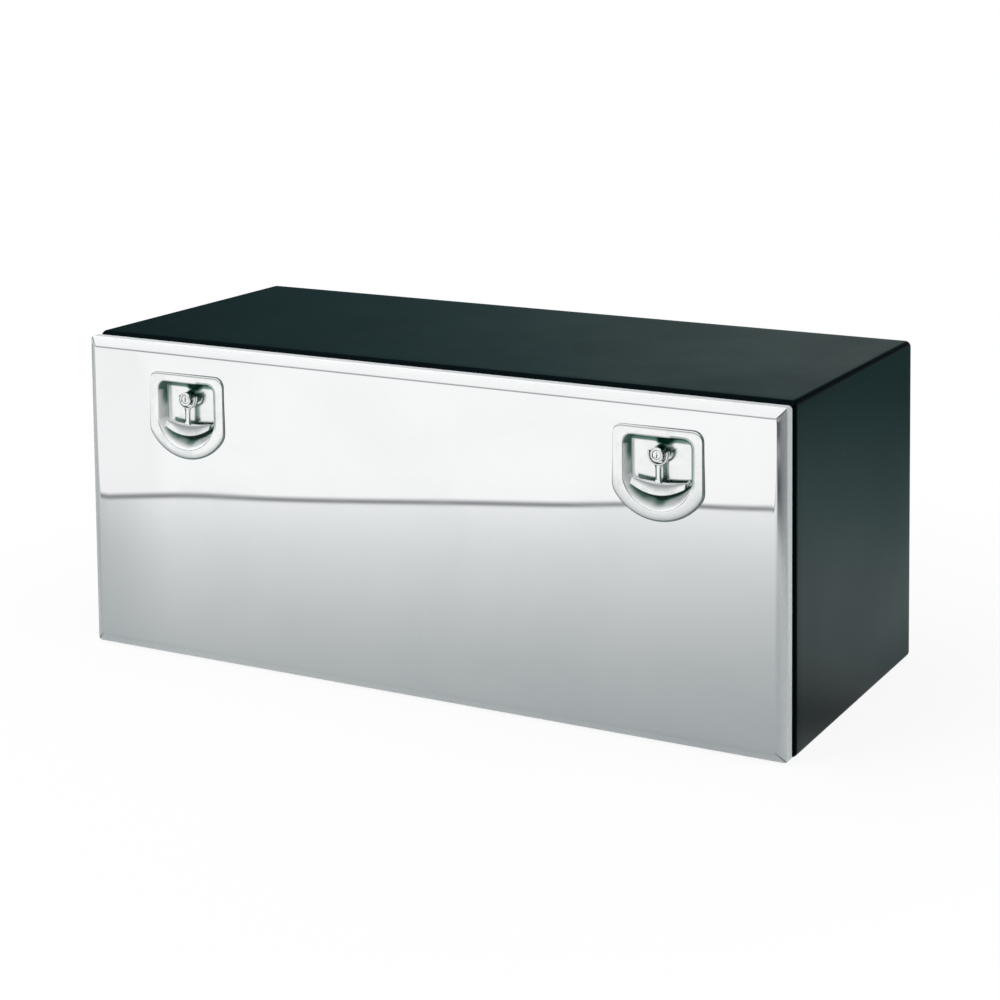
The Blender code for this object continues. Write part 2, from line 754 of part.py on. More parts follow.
def stay_arm(name, side):
    """A flat bar with a long slot; the slot ends where the door stands level."""
    along = Vector(STAY_STUD) - Vector(STAY_PIVOT)
    closed = along.length
    along.normalize()
    across = Vector((-along.y, along.x))
    opened_pivot = Vector((HINGE_Y - STAY_PIVOT_UP, HINGE_Z + STAY_PIVOT_IN))
    opened = (Vector(STAY_STUD) - opened_pivot).length
    start, end = closed - STAY_SLOT_SPARE, opened + STAY_SLOT_SPARE
    half = STAY_WIDE / 2
    slot = STAY_PIN_RADIUS + STAY_HOLE_GAP
    bar = arc((0, 0), half, 90, 270, STAY_END_STEPS) + arc((end, 0), half, -90, 90, STAY_END_STEPS)
    channel = arc((start, 0), slot, 90, 270, STAY_END_STEPS)
    channel += arc((end, 0), slot, -90, 90, STAY_END_STEPS)
    hole = circle((0, 0), slot, HUB_STEPS)
    loops = []
    for loop in (bar, channel, hole):
        placed = [Vector(STAY_PIVOT) + along * u + across * v for u, v in loop]
        loops.append([(p.x, p.y) for p in placed])
    low, high = sorted((side * (STAY_PLANE_X - STAY_SHEET / 2), side * (STAY_PLANE_X + STAY_SHEET / 2)))
    node = "stay_arm_" + name
    return plate(node, loops, SIDEWAYS, low, high, zinc(node))


# Locks
def mouth_sizes(inset):
    """The recess outline's sizes, drawn in by an inset; its bottom wall leans more, for fingers."""
    toe = DISH_TOE_SHARE * max(inset, 0)
    return (
        DISH_MOUTH_HALF_WIDTH - inset,
        DISH_MOUTH_TOP - inset,
        DISH_MOUTH_SHOULDER,
        DISH_MOUTH_BOTTOM - inset - toe,
        DISH_MOUTH_CORNER - inset / 2,
    )


def flange_sizes(inset):
    """The flange outline's sizes, drawn in by an inset."""
    return (
        DISH_HALF_WIDTH - inset,
        DISH_TOP - inset,
        DISH_SHOULDER,
        DISH_BOTTOM - inset,
        DISH_CORNER_RADIUS - inset / 2,
    )


def dish_outline(sizes, side):
    """A D lying on its back round one lock's centre: flat top, straight sides, curved bottom."""
    half, top, shoulder, bottom, corner = sizes
    sag = bottom - shoulder
    radius = (half**2 + sag**2) / (2 * sag)
    spread = math.degrees(math.asin(half / radius))
    points = arc((half - corner, top - corner), corner, 0, 90, DISH_CORNER_STEPS)
    points += arc((corner - half, top - corner), corner, 90, 180, DISH_CORNER_STEPS)
    points += arc((0, radius - bottom), radius, -90 - spread, -90 + spread, DISH_ARC_STEPS)
    return [(side * LOCK_X + x, LOCK_Z + z) for x, z in points]


def latch_dish(name, side):
    """A cup pressed from one sheet: wide flange, rolled mouth, drafted wall and floor."""
    wall = [
        (-2 * DISH_ROLL, DISH_FACE_Y),
        (0, DISH_FACE_Y),
        (DISH_DRAFT, DISH_FLOOR_Y),
        (DISH_DRAFT + 2 * DISH_ROLL, DISH_FLOOR_Y),
    ]
    rings = []
    for inset, y in ((0, DISH_FACE_Y + DISH_EDGE_ROLL), (DISH_EDGE_ROLL, DISH_FACE_Y)):
        ring = dish_outline(flange_sizes(inset), side)
        rings.append([(x, y, z) for x, z in ring])
    for inset, y in filleted(wall, DISH_ROLL, DISH_ROLL_STEPS)[1:]:
        ring = dish_outline(mouth_sizes(inset), side)
        rings.append([(x, y, z) for x, z in ring])
    node = "latch_dish_" + name
    dish = loft(node, rings, stainless(node), capped=True)
    solidify(dish, DISH_SHEET)
    floor = (side * LOCK_X, DISH_FLOOR_Y - CUT_OVERRUN, LOCK_Z)
    hole = HUB_SHANK_RADIUS + DISH_HOLE_GAP
    cut(dish, rod(node + "_hole", floor, (0, 1, 0), hole, 2 * CUT_OVERRUN))


def latch_gasket(name, side):
    """A thin rubber sheet between the dish's flange and the door."""
    outer = dish_outline(flange_sizes(GASKET_INSET), side)
    inner = dish_outline(mouth_sizes(-DISH_SHEET - DISH_APERTURE_GAP), side)
    rear = DOOR_FACE_Y - SEAT_GAP
    node = "latch_gasket_" + name
    plate(node, [outer, inner], FACING, -rear, -rear + GASKET_THICK, rubber(node))


def lock_hub(name, side):
    """The fixed hub: a collar on the dish's floor and a shank through both door sheets."""
    x = side * LOCK_X
    seat = DISH_FLOOR_Y - SEAT_GAP
    tail = CAM_FRONT_Y - HUB_CAM_GAP
    profile = [
        (HUB_BORE_RADIUS, -HUB_FACE_Y),
        (HUB_RADIUS - HUB_CHAMFER, -HUB_FACE_Y),
        (HUB_RADIUS, -HUB_FACE_Y - HUB_CHAMFER),
        (HUB_RADIUS, -seat),
        (HUB_SHANK_RADIUS, -seat),
        (HUB_SHANK_RADIUS, -tail),
        (HUB_BORE_RADIUS, -tail),
    ]
    node = "lock_hub_" + name
    hub = turned(node, profile, (x, 0, LOCK_Z), (0, -1, 0), stainless(node), closed=True)
    for end, ear in (("outer", side), ("inner", -side)):
        start = (x + ear * (HUB_RADIUS - HANDLE_PIN_DEPTH), PIVOT_Y, LOCK_Z)
        socket = HANDLE_PIN_RADIUS + HANDLE_PIN_GAP
        cut(hub, rod(f"{node}_socket_{end}", start, (ear, 0, 0), socket, CUT_OVERRUN))


def hexagon(centre, flats):
    return circle(centre, flats / math.sqrt(3), 6)


def nut(node, side, flats, bore, front, thick):
    """A hexagon nut on one lock's axis, from its front face back."""
    centre = (side * LOCK_X, LOCK_Z)
    loops = [hexagon(centre, flats), circle(centre, bore, HUB_STEPS)]
    return plate(node, loops, FACING, -front - thick, -front, zinc(node))


def handle(name, side):
    """A flat casting: half ring round the hub, stem and boat-shaped crossbar."""
    x = side * LOCK_X
    inner, outer = HANDLE_RING_INNER, HANDLE_RING_OUTER
    stem_angle = math.degrees(math.asin(HANDLE_STEM_HALF / outer))
    sag = HANDLE_BAR_BOTTOM - HANDLE_BAR_END
    keel = (HANDLE_BAR_HALF**2 + sag**2) / (2 * sag)
    spread = math.degrees(math.asin(HANDLE_BAR_HALF / keel))
    deck_sag = HANDLE_BAR_SAG
    deck = (HANDLE_BAR_HALF**2 + deck_sag**2) / (2 * deck_sag)
    deck_spread = math.degrees(math.asin(HANDLE_BAR_HALF / deck))
    stem_deck = math.degrees(math.asin(HANDLE_STEM_HALF / deck))
    deck_centre = (0, deck - HANDLE_BAR_TOP - deck_sag)
    steps = HANDLE_ARC_STEPS
    line = [(inner, HANDLE_EAR_TOP)]
    line += arc((0, 0), inner, 0, -180, steps)
    line += [(-inner, HANDLE_EAR_TOP), (-outer, HANDLE_EAR_TOP)]
    line += arc((0, 0), outer, 180, 270 - stem_angle, steps // 2)
    line += arc(deck_centre, deck, -90 - stem_deck, -90 - deck_spread, steps // 4)
    line += arc((0, keel - HANDLE_BAR_BOTTOM), keel, -90 - spread, -90 + spread, steps)
    line += arc(deck_centre, deck, -90 + deck_spread, -90 + stem_deck, steps // 4)
    line += arc((0, 0), outer, -90 + stem_angle, 0, steps // 2)
    line.append((outer, HANDLE_EAR_TOP))
    outline = [(x + a, LOCK_Z + b) for a, b in line]
    half = HANDLE_THICK / 2
    node = "handle_" + name
    made = plate(node, [outline], FACING, -PIVOT_Y - half, -PIVOT_Y + half, stainless(node))
    soften(made, HANDLE_EDGE_ROUND, 2, 50)
    start = (x - outer - CUT_OVERRUN, PIVOT_Y, LOCK_Z)
    hole = HANDLE_PIN_RADIUS + HANDLE_PIN_GAP
    cut(made, rod(node + "_hole", start, (1, 0, 0), hole, 2 * (outer + CUT_OVERRUN)))
    pins = []
    for end, ear in (("outer", side), ("inner", -side)):
        near = HUB_RADIUS - HANDLE_PIN_DEPTH + HANDLE_PIN_GAP
        far = outer - HANDLE_PIN_GAP
        pin = f"handle_pin_{name}_{end}"
        place = (x + ear * near, PIVOT_Y, LOCK_Z)
        pins.append(rod(pin, place, (ear, 0, 0), HANDLE_PIN_RADIUS, far - near, zinc(pin)))
    return [made, *pins]


def lock_plug(name, side):
    """The key cylinder's face with its keyway."""
    front = HUB_FACE_Y + PLUG_RECESS
    x = side * LOCK_X
    node = "lock_plug_" + name
    plug = rod(node, (x, front, LOCK_Z), (0, 1, 0), PLUG_RADIUS, PLUG_LENGTH, stainless(node))
    half = KEYWAY_WIDE / 2
    keyway = box(
        node + "_keyway",
        (x - half, front - CUT_OVERRUN, LOCK_Z - KEYWAY_HALF_HEIGHT),
        (x + half, front + KEYWAY_DEEP, LOCK_Z + KEYWAY_HALF_HEIGHT),
    )
    cut(plug, keyway)
    return plug


def lock_spindle(name, side):
    """The shaft behind the plug: round in the hub, square in the cam, thread for the nut."""
    x = side * LOCK_X
    start = HUB_FACE_Y + PLUG_RECESS + PLUG_LENGTH + SEAT_GAP
    collar = CAM_FRONT_Y - SEAT_GAP
    square_end = CAM_REAR_Y
    tip = NUT_REAR_Y + SPINDLE_SPARE
    profile = [
        (0, -start),
        (PLUG_RADIUS, -start),
        (PLUG_RADIUS, -collar),
        (SPINDLE_THREAD_RADIUS, -collar),
        (SPINDLE_THREAD_RADIUS, -tip),
        (0, -tip),
    ]
    node = "lock_spindle_" + name
    spindle = turned(node, profile, (x, 0, LOCK_Z), (0, -1, 0), zinc(node))
    half = SPINDLE_SQUARE / 2
    square = box(
        node + "_square",
        (x - half, collar - SEAT_GAP, LOCK_Z - half),
        (x + half, square_end, LOCK_Z + half),
    )
    join(spindle, square)
    return spindle


def lock_cam(name, side):
    """A flat arm on the spindle's square, stored pointing along the door."""
    centre = Vector((side * LOCK_X, LOCK_Z))
    reach = CAM_REACH - CAM_TIP_RADIUS
    lean = math.degrees(math.acos((CAM_HUB_RADIUS - CAM_TIP_RADIUS) / reach))
    line = arc((0, 0), CAM_HUB_RADIUS, lean, 360 - lean, 2 * STAY_END_STEPS)
    line += arc((reach, 0), CAM_TIP_RADIUS, -lean, lean, STAY_END_STEPS)
    outline = [(centre.x - side * a, centre.y + b) for a, b in line]
    half = SPINDLE_SQUARE / 2 + CAM_HOLE_GAP
    corners = ((-half, -half), (half, -half), (half, half), (-half, half))
    hole = [(centre.x + a, centre.y + b) for a, b in corners]
    node = "lock_cam_" + name
    return plate(node, [outline, hole], FACING, -CAM_REAR_Y, -CAM_FRONT_Y, zinc(node))


def cam_washer(name, side):
    centre = (side * LOCK_X, LOCK_Z)
    loops = [circle(centre, WASHER_RADIUS, HUB_STEPS)]
    loops.append(circle(centre, SPINDLE_THREAD_RADIUS + SEAT_GAP, HUB_STEPS))
    node = "cam_washer_" + name
    front = CAM_REAR_Y + SEAT_GAP
    return plate(node, loops, FACING, -front - WASHER_THICK, -front, zinc(node))


# Assembly
def axis_empty(name, place, riders):
    """An empty on a joint's axis that carries the pieces of one moving body."""
    empty = bpy.data.objects.new(name, None)
    PARTS.objects.link(empty)
    empty.location = place
    bpy.context.view_layer.update()
    for rider in riders:
        rider.parent = empty
        rider.matrix_parent_inverse = empty.matrix_world.inverted()
    return empty


def build():
    body_wrap()
    back_panel()
    top_channels()
    door_seal()
    strikers()
    hinge()
    door_skin()
    door_inner_panel()
    door_braces()
    moving = {}
    for name, side in SIDES.items():
        x = side * LOCK_X
        stay_stud(name, side)
        stay_bracket(name, side)
        stay_rivet(name, side)
        arm = stay_arm(name, side)
        moving["stay_axis_" + name] = ((side * STAY_PLANE_X, *STAY_PIVOT), [arm])
        latch_dish(name, side)
        latch_gasket(name, side)
        lock_hub(name, side)
        nut_bore = HUB_SHANK_RADIUS + SEAT_GAP
        nut("hub_nut_" + name, side, HUB_NUT_FLATS, nut_bore, PANEL_REAR_Y + SEAT_GAP, HUB_NUT_THICK)
        moving["handle_axis_" + name] = ((x, PIVOT_Y, LOCK_Z), handle(name, side))
        turning = [lock_plug(name, side), lock_spindle(name, side), lock_cam(name, side)]
        turning.append(cam_washer(name, side))
        cam_bore = SPINDLE_THREAD_RADIUS + SEAT_GAP
        cam_front = WASHER_REAR_Y + SEAT_GAP
        turning.append(nut("cam_nut_" + name, side, NUT_FLATS, cam_bore, cam_front, NUT_THICK))
        moving["lock_axis_" + name] = ((x, HUB_FACE_Y, LOCK_Z), turning)
    for name, (place, riders) in moving.items():
        axis_empty(name, place, riders)
    door_pieces = [
        made
        for made in PARTS.objects
        if made.type == "MESH"
        and made.name.startswith(DOOR_NODES)
    ]
    empties = [made for made in PARTS.objects if made.type == "EMPTY"]
    axis_empty("door_axis", (0, HINGE_Y, HINGE_Z), door_pieces + empties)
    for made in PARTS.objects:
        if made.type == "MESH":
            made.data.shade_smooth()
            made.data.set_sharp_from_angle(angle=math.radians(30))


build()
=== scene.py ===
# %% [markdown]
# # Underbody truck tool box
# A black powder-coated steel box with a polished stainless door that drops down on a piano
# hinge. Two D-shaped lock dishes hold folding T-handles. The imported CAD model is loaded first
# as a fixed frame, and every visible piece is then finished or rebuilt around it.

# %% Load the frame
import json
import math

import bmesh
import bpy
import numpy as np
from mathutils import Matrix, Vector
from mathutils.geometry import delaunay_2d_cdt

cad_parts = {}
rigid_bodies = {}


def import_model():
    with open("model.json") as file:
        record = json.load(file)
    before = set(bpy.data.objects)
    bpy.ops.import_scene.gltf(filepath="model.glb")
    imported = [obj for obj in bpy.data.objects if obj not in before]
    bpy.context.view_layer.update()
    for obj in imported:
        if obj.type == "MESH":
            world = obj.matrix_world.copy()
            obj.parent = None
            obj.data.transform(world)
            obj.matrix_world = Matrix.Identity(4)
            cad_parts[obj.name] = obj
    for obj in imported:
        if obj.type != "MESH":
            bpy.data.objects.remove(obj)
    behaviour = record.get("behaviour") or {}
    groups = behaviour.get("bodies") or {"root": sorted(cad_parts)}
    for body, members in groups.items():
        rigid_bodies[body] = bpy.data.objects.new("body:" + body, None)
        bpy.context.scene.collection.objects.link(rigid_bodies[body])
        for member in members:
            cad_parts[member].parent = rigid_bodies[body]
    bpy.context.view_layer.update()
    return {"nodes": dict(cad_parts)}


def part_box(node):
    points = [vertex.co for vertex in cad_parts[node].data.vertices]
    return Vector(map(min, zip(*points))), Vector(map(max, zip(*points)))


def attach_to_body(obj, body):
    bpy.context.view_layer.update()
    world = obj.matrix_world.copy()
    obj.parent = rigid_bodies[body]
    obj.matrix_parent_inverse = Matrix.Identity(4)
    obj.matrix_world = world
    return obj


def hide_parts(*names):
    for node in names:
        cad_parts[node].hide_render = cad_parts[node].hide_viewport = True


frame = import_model()
cad = frame["nodes"]

# %% [markdown]
# ## Camera
# The photograph was taken from the right of the door with almost upright verticals, so the
# camera is nearly level and the picture is shifted down, as with a view camera's rising front.
# The numbers come from a fit of the box's corners.

# %% Camera
AZIMUTH, ELEVATION, ROLL = math.radians(25.924), math.radians(4.907), math.radians(-0.201)
CAMERA_PLACE = Vector((1.72083, -2.92296, 1.16386))
back = Vector((
    math.sin(AZIMUTH) * math.cos(ELEVATION),
    -math.cos(AZIMUTH) * math.cos(ELEVATION),
    math.sin(ELEVATION),
))
level = Vector((math.cos(AZIMUTH), math.sin(AZIMUTH), 0))
right = level * math.cos(ROLL) + back.cross(level) * math.sin(ROLL)
turn = Matrix((right, back.cross(right), back)).transposed().to_4x4()
camera_data = bpy.data.cameras.new("camera")
camera = bpy.data.objects.new("camera", camera_data)
bpy.context.scene.collection.objects.link(camera)
camera.matrix_world = Matrix.Translation(CAMERA_PLACE) @ turn
camera_data.sensor_width = 36
camera_data.lens = 78.555
camera_data.shift_x = -0.17085
camera_data.shift_y = -0.40248
bpy.context.scene.camera = camera
bpy.context.scene.view_settings.view_transform = "Standard"
print("camera looks along", [round(v, 3) for v in -back])

# %% [markdown]
# ## Small helpers for meshes and node trees
# A mesh is made from lists of points and faces. Most pieces here are sheet metal, so one helper
# gives a skin its thickness with Solidify and then applies it, which leaves plain mesh. A
# shader tree is made by naming nodes and joining their sockets, so one short function for each
# job keeps the cells readable.


# %% Mesh helpers
def clamp(value):
    """Keeps a value between 0 and 1."""
    return min(1, max(0, value))


def put_in_scene(name, data):
    """A new object at the origin."""
    made = bpy.data.objects.new(name, data)
    bpy.context.scene.collection.objects.link(made)
    return made


def solid_form(name, verts, faces):
    """A mesh object made from points and faces."""
    mesh = bpy.data.meshes.new(name)
    mesh.from_pydata([tuple(v) for v in verts], [], faces)
    return put_in_scene(name, mesh)


def piece(name, verts, faces, body, material):
    """A smooth mesh object that will ride on one CAD body."""
    made = solid_form(name, verts, faces)
    made.data.materials.append(material)
    made.data.shade_smooth()
    made["body"] = body
    return made


def mark_points(made, label, values):
    """Gives each point a number that a finish reads by its label."""
    marks = made.data.attributes.new(label, "FLOAT", "POINT")
    marks.data.foreach_set("value", [float(value) for value in values])


# %% Mesh finishing helpers
def tidy_mesh(made, merge=1e-6, towards=None):
    """Merges doubles and turns every face outwards, or an open sheet towards a direction."""
    bm = bmesh.new()
    bm.from_mesh(made.data)
    bmesh.ops.remove_doubles(bm, verts=bm.verts, dist=merge)
    bmesh.ops.recalc_face_normals(bm, faces=bm.faces)
    if towards and sum(f.calc_area() * f.normal.dot(Vector(towards)) for f in bm.faces) < 0:
        bmesh.ops.reverse_faces(bm, faces=bm.faces)
    bm.to_mesh(made.data)
    bm.free()


def bake_modifiers(made):
    """Turns a piece's modifiers into plain mesh."""
    bpy.context.view_layer.update()
    seen = made.evaluated_get(bpy.context.evaluated_depsgraph_get())
    mesh = bpy.data.meshes.new_from_object(seen)
    made.modifiers.clear()
    made.data = mesh


def sharp_at(made, degrees):
    """Keeps edges crisp where two faces meet at more than an angle."""
    made.data.set_sharp_from_angle(angle=math.radians(degrees))


def thicken(made, sheet, degrees):
    """Gives an open skin the thickness of its sheet."""
    modifier = made.modifiers.new("sheet", "SOLIDIFY")
    modifier.thickness, modifier.offset = sheet, -1
    bake_modifiers(made)
    sharp_at(made, degrees)


def attach(made, *nodes, slot=None):
    """Puts a finished piece on its body, in place of the CAD nodes it stands for."""
    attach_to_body(made, made["body"])
    if nodes:
        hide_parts(*nodes)
    print(made.name, "on", made["body"], "-", len(made.data.polygons), "faces")


# %% Node helpers
def add(tree, kind, **settings):
    """One node; settings are its properties, or its inputs where the name is an input's."""
    node = tree.nodes.new(kind)
    for key, value in settings.items():
        if hasattr(node, key):
            setattr(node, key, value)
        else:
            node.inputs[key.replace("_", " ")].default_value = value
    return node


def wire(tree, *ends):
    """Joins sockets in pairs: from, to, from, to."""
    for start, end in zip(ends[::2], ends[1::2]):
        tree.links.new(start, end)


def give(tree, socket, value):
    """Sets a socket to a number or a colour, or joins it to another socket."""
    if isinstance(value, bpy.types.NodeSocket):
        tree.links.new(value, socket)
    else:
        socket.default_value = (*value, 1) if isinstance(value, tuple) else value


def maths(tree, operation, *values):
    """A Math node whose values are numbers or sockets; returns its result."""
    node = add(tree, "ShaderNodeMath", operation=operation)
    for socket, value in zip(node.inputs, values):
        give(tree, socket, value)
    return node.outputs[0]


def scaled(tree, value, factor, offset):
    """A value times a factor, plus an offset."""
    return maths(tree, "MULTIPLY_ADD", value, factor, offset)


# %% Node helpers for masks and colours
def spread(tree, value, low, high, to_low=0.0, to_high=1.0):
    """Stretches a value smoothly between two limits."""
    node = add(
        tree, "ShaderNodeMapRange", interpolation_type="SMOOTHSTEP",
        From_Min=low, From_Max=high, To_Min=to_low, To_Max=to_high,
    )
    wire(tree, value, node.inputs["Value"])
    return node.outputs[0]


def mixed(tree, factor, first, second):
    """A mix of two colours, each a tuple or a socket."""
    node = add(tree, "ShaderNodeMix", data_type="RGBA")
    wire(tree, factor, node.inputs["Factor"])
    give(tree, node.inputs["A"], first)
    give(tree, node.inputs["B"], second)
    return node.outputs["Result"]


def ramp(tree, value, *stops):
    """A colour ramp; each stop is its position, then one grey or three colour numbers."""
    node = add(tree, "ShaderNodeValToRGB")
    elements = node.color_ramp.elements
    for k, (position, *_) in enumerate(stops):
        stop = elements[k] if k < 2 else elements.new(position)
        stop.position = position
    for stop, (_, *colour) in zip(sorted(elements, key=lambda e: e.position), sorted(stops)):
        stop.color = (*(colour if len(colour) == 3 else colour * 3), 1)
    wire(tree, value, node.inputs[0])
    return node.outputs[0]


def axes(tree, vector):
    """The X, Y and Z sockets of a vector."""
    node = add(tree, "ShaderNodeSeparateXYZ")
    wire(tree, vector, node.inputs[0])
    return node.outputs


def noise(tree, vector, scale, detail=4.0, rough=0.5, **more):
    """The grey of a noise texture; its scale is a number or a socket."""
    node = add(tree, "ShaderNodeTexNoise", Detail=detail, Roughness=rough, **more)
    give(tree, node.inputs["Scale"], scale)
    wire(tree, vector, node.inputs["Vector"])
    return node.outputs["Fac"]


def marked(tree, label):
    """The number that the points of a piece carry under a label."""
    return add(tree, "ShaderNodeAttribute", attribute_name=label).outputs["Fac"]


# %% [markdown]
# ## Studio
# The photograph is a cut-out on white, so the floor and the world are white to the camera. The
# door is nearly a mirror, and what it shows is the floor in front of it: a grey stretch near the
# box, a soft dark line, then white paper. That pattern could be a picture laid on the floor, but
# as a colour ramp over metres it stays sharp and can be moved by one number. It is seen by
# glossy rays only. The right-hand end of the studio is dark, which gives the lock dishes their
# deep green walls.


# %% Which rays see the studio
def seen_directly(tree):
    """1 for camera rays, and 1 for any ray that shows the studio itself."""
    rays = add(tree, "ShaderNodeLightPath").outputs
    either = maths(tree, "MAXIMUM", rays["Is Camera Ray"], rays["Is Glossy Ray"])
    return rays["Is Camera Ray"], maths(tree, "MAXIMUM", either, rays["Is Transmission Ray"])


def shown(tree, surface, lit, glow, share):
    """Ends a tree with the lit shader, or the glowing one where share is 1."""
    blend = add(tree, "ShaderNodeMixShader")
    for socket, value in zip(blend.inputs, (share, lit.outputs[0], glow.outputs[0])):
        wire(tree, value, socket)
    wire(tree, blend.outputs[0], add(tree, surface).inputs["Surface"])


# %% Floor: the paper that the door mirrors
PAPER_LINE = 1.314
PAPER_TURN = math.radians(20.9)
LINE_STOP = 0.513

floor_material = bpy.data.materials.new("studio_floor")
floor_material.use_nodes = True
tree = floor_material.node_tree
tree.nodes.clear()
place = add(tree, "ShaderNodeTexCoord").outputs["Object"]
across, along, _ = axes(tree, place)
ahead = scaled(
    tree, across, -math.sin(PAPER_TURN), maths(tree, "MULTIPLY", along, -math.cos(PAPER_TURN))
)
paper = ramp(
    tree, maths(tree, "MULTIPLY", ahead, LINE_STOP / PAPER_LINE),
    (0.0, 0.315, 0.345, 0.35), (0.037, 0.33, 0.36, 0.365), (0.167, 0.42, 0.445, 0.45),
    (0.252, 0.515, 0.535, 0.54), (0.382, 0.68, 0.70, 0.705), (0.492, 0.84, 0.85, 0.855),
    (0.503, 0.85, 0.86, 0.865), (0.5115, 0.27, 0.28, 0.29), (0.5165, 0.30, 0.31, 0.32),
    (0.526, 0.98, 0.98, 0.98), (0.60, 1.0, 1.0, 1.0),
)
# Less light reaches the near floor at the far left
beyond = spread(tree, ahead, PAPER_LINE - 0.02, PAPER_LINE + 0.02, 0, 0.93)
leftward = scaled(tree, along, -0.87, across)
left_light = maths(tree, "MAXIMUM", spread(tree, leftward, -0.36, -0.16, 0.58, 1), beyond)
paper = mixed(tree, left_light, (0.25, 0.28, 0.29), paper)
print("floor paper line", PAPER_LINE, "m ahead of the box")

# %% Floor: its dark right end and the part behind the box
in_front = spread(tree, along, 0.1, -0.15)
streaks = noise(tree, place, 2.6, 2.0)
far_right = maths(tree, "MULTIPLY", spread(tree, across, 1.05, 1.35), in_front)
far_right = maths(tree, "MULTIPLY", far_right, spread(tree, streaks, 0.3, 0.6, 0.66, 1.0))
shade = mixed(tree, far_right, paper, (0.055, 0.066, 0.074))
beside = scaled(tree, along, 0.9, across)
dark_end = maths(tree, "MULTIPLY", spread(tree, beside, 0.42, 0.66), in_front)
shade = mixed(tree, maths(tree, "MULTIPLY", dark_end, 0.97), shade, (0.004, 0.008, 0.010))
rear = ramp(
    tree, maths(tree, "MULTIPLY", along, 0.25),
    (0.0, 0.38, 0.48, 0.48), (0.14, 0.42, 0.53, 0.53), (0.24, 0.27, 0.40, 0.40),
    (0.46, 0.05, 0.12, 0.12),
)
rear = mixed(tree, spread(tree, across, 0.45, 0.72), (0.006, 0.016, 0.018), rear)
shade = mixed(tree, spread(tree, along, 0.05, 0.2), shade, rear)
print("floor tree:", len(tree.nodes), "nodes for its pattern")

# %% Floor: white to the camera, with a faint shadow near the box
to_camera, direct = seen_directly(tree)
glow = add(tree, "ShaderNodeEmission")
wire(tree, mixed(tree, to_camera, shade, (1, 1, 1)), glow.inputs["Color"])
plain_floor = add(tree, "ShaderNodeBsdfDiffuse", Color=(0.82, 0.82, 0.82, 1))
away = add(tree, "ShaderNodeVectorMath", operation="LENGTH")
wire(tree, place, away.inputs[0])
share = maths(tree, "MULTIPLY", direct, spread(tree, away.outputs["Value"], 0.7, 1.3, 0.90, 1))
shown(tree, "ShaderNodeOutputMaterial", plain_floor, glow, share)
FLOOR_HALF = 9
corners = [(x * FLOOR_HALF, y * FLOOR_HALF, 0) for x, y in ((-1, -1), (1, -1), (1, 1), (-1, 1))]
floor = solid_form("floor", corners, [(0, 1, 2, 3)])
floor.data.materials.append(floor_material)
# A little below the box's underside, so that the two don't lie in one plane
floor.location.z = -0.0004
print("floor is", round(floor.dimensions.x), "m wide")

# %% [markdown]
# ### World
# The world is the rest of the studio, and a mirror shows it by the direction it looks in: the
# front wall by its height, the rear by left and right, and a dark wall at the right. Walls of
# mesh would cast shadows and hide the box from other sides, so colour ramps on the world's
# directions do it. To the camera the world is plain white.

# %% World
world = bpy.data.worlds.new("studio")
bpy.context.scene.world = world
world.use_nodes = True
tree = world.node_tree
tree.nodes.clear()
facing = add(tree, "ShaderNodeTexCoord").outputs["Generated"]
rightward, rearward, upward = axes(tree, facing)
front = ramp(
    tree, upward, (0.0, 0.90), (0.03, 0.66), (0.08, 0.38, 0.39, 0.40), (0.20, 0.34, 0.35, 0.36),
    (0.32, 0.62, 0.63, 0.64), (0.44, 0.97),
)
rear = ramp(
    tree, scaled(tree, rightward, 1.25, 1.0),
    (0.18, 0.002, 0.012, 0.016), (0.34, 0.050, 0.096, 0.102), (0.56, 0.25, 0.31, 0.30),
    (1.0, 0.27, 0.32, 0.31),
)
rear = mixed(tree, spread(tree, upward, 0.26, 0.42), rear, (0.010, 0.022, 0.026))
shade = mixed(tree, spread(tree, rearward, -0.1, 0.3), front, rear)
toward_right = add(tree, "ShaderNodeVectorMath", operation="DOT_PRODUCT")
toward_right.inputs[1].default_value = (0.94, -0.34, 0)
wire(tree, facing, toward_right.inputs[0])
dark_side = spread(tree, toward_right.outputs["Value"], 0.45, 0.75, 0, 0.95)
shade = mixed(tree, dark_side, shade, (0.010, 0.034, 0.028))
to_camera, direct = seen_directly(tree)
daylight = add(tree, "ShaderNodeBackground", Color=(0.95, 0.98, 1.0, 1), Strength=0.55)
studio = add(tree, "ShaderNodeBackground")
wire(tree, mixed(tree, to_camera, shade, (1, 1, 1)), studio.inputs["Color"])
shown(tree, "ShaderNodeOutputWorld", daylight, studio, direct)
print("world", world.name, "has", len(tree.nodes), "nodes")

# %% [markdown]
# ### Lamps
# Coat, rubber and floor need light that metal mustn't mirror, because no lamp shows in the
# photograph's door. Sun lamps would give hard shadows. So three large area lamps stand above,
# at the right and in front, and mirrors don't see them.


# %% Lamps
def softbox(name, place, target, size, power):
    """A square area lamp aimed at a point and hidden from mirrors."""
    data = bpy.data.lights.new(name, "AREA")
    data.size = size
    data.energy = power
    lamp = put_in_scene(name, data)
    lamp.location = place
    lamp.rotation_euler = (Vector(place) - Vector(target)).to_track_quat("Z", "Y").to_euler()
    lamp.visible_glossy = False
    print(name, power, "W")


softbox("softbox_overhead", (-0.6, -0.6, 2.6), (0, 0, 0.3), 1.8, 38)
softbox("softbox_right", (2.6, 0.6, 1.5), (0.5, 0, 0.3), 1.2, 14)
softbox("softbox_front", (-1.6, -2.6, 1.8), (0, 0, 0.3), 1.6, 22)

# %% [markdown]
# ## Effects that several finishes share
# Real metal is never even, and the same few faults show on every piece. Each could be drawn
# again in every material, but then a change would have to be made many times. So each is a
# shader group, built once, which gives a mask or a height. A material uses it with its own
# values.


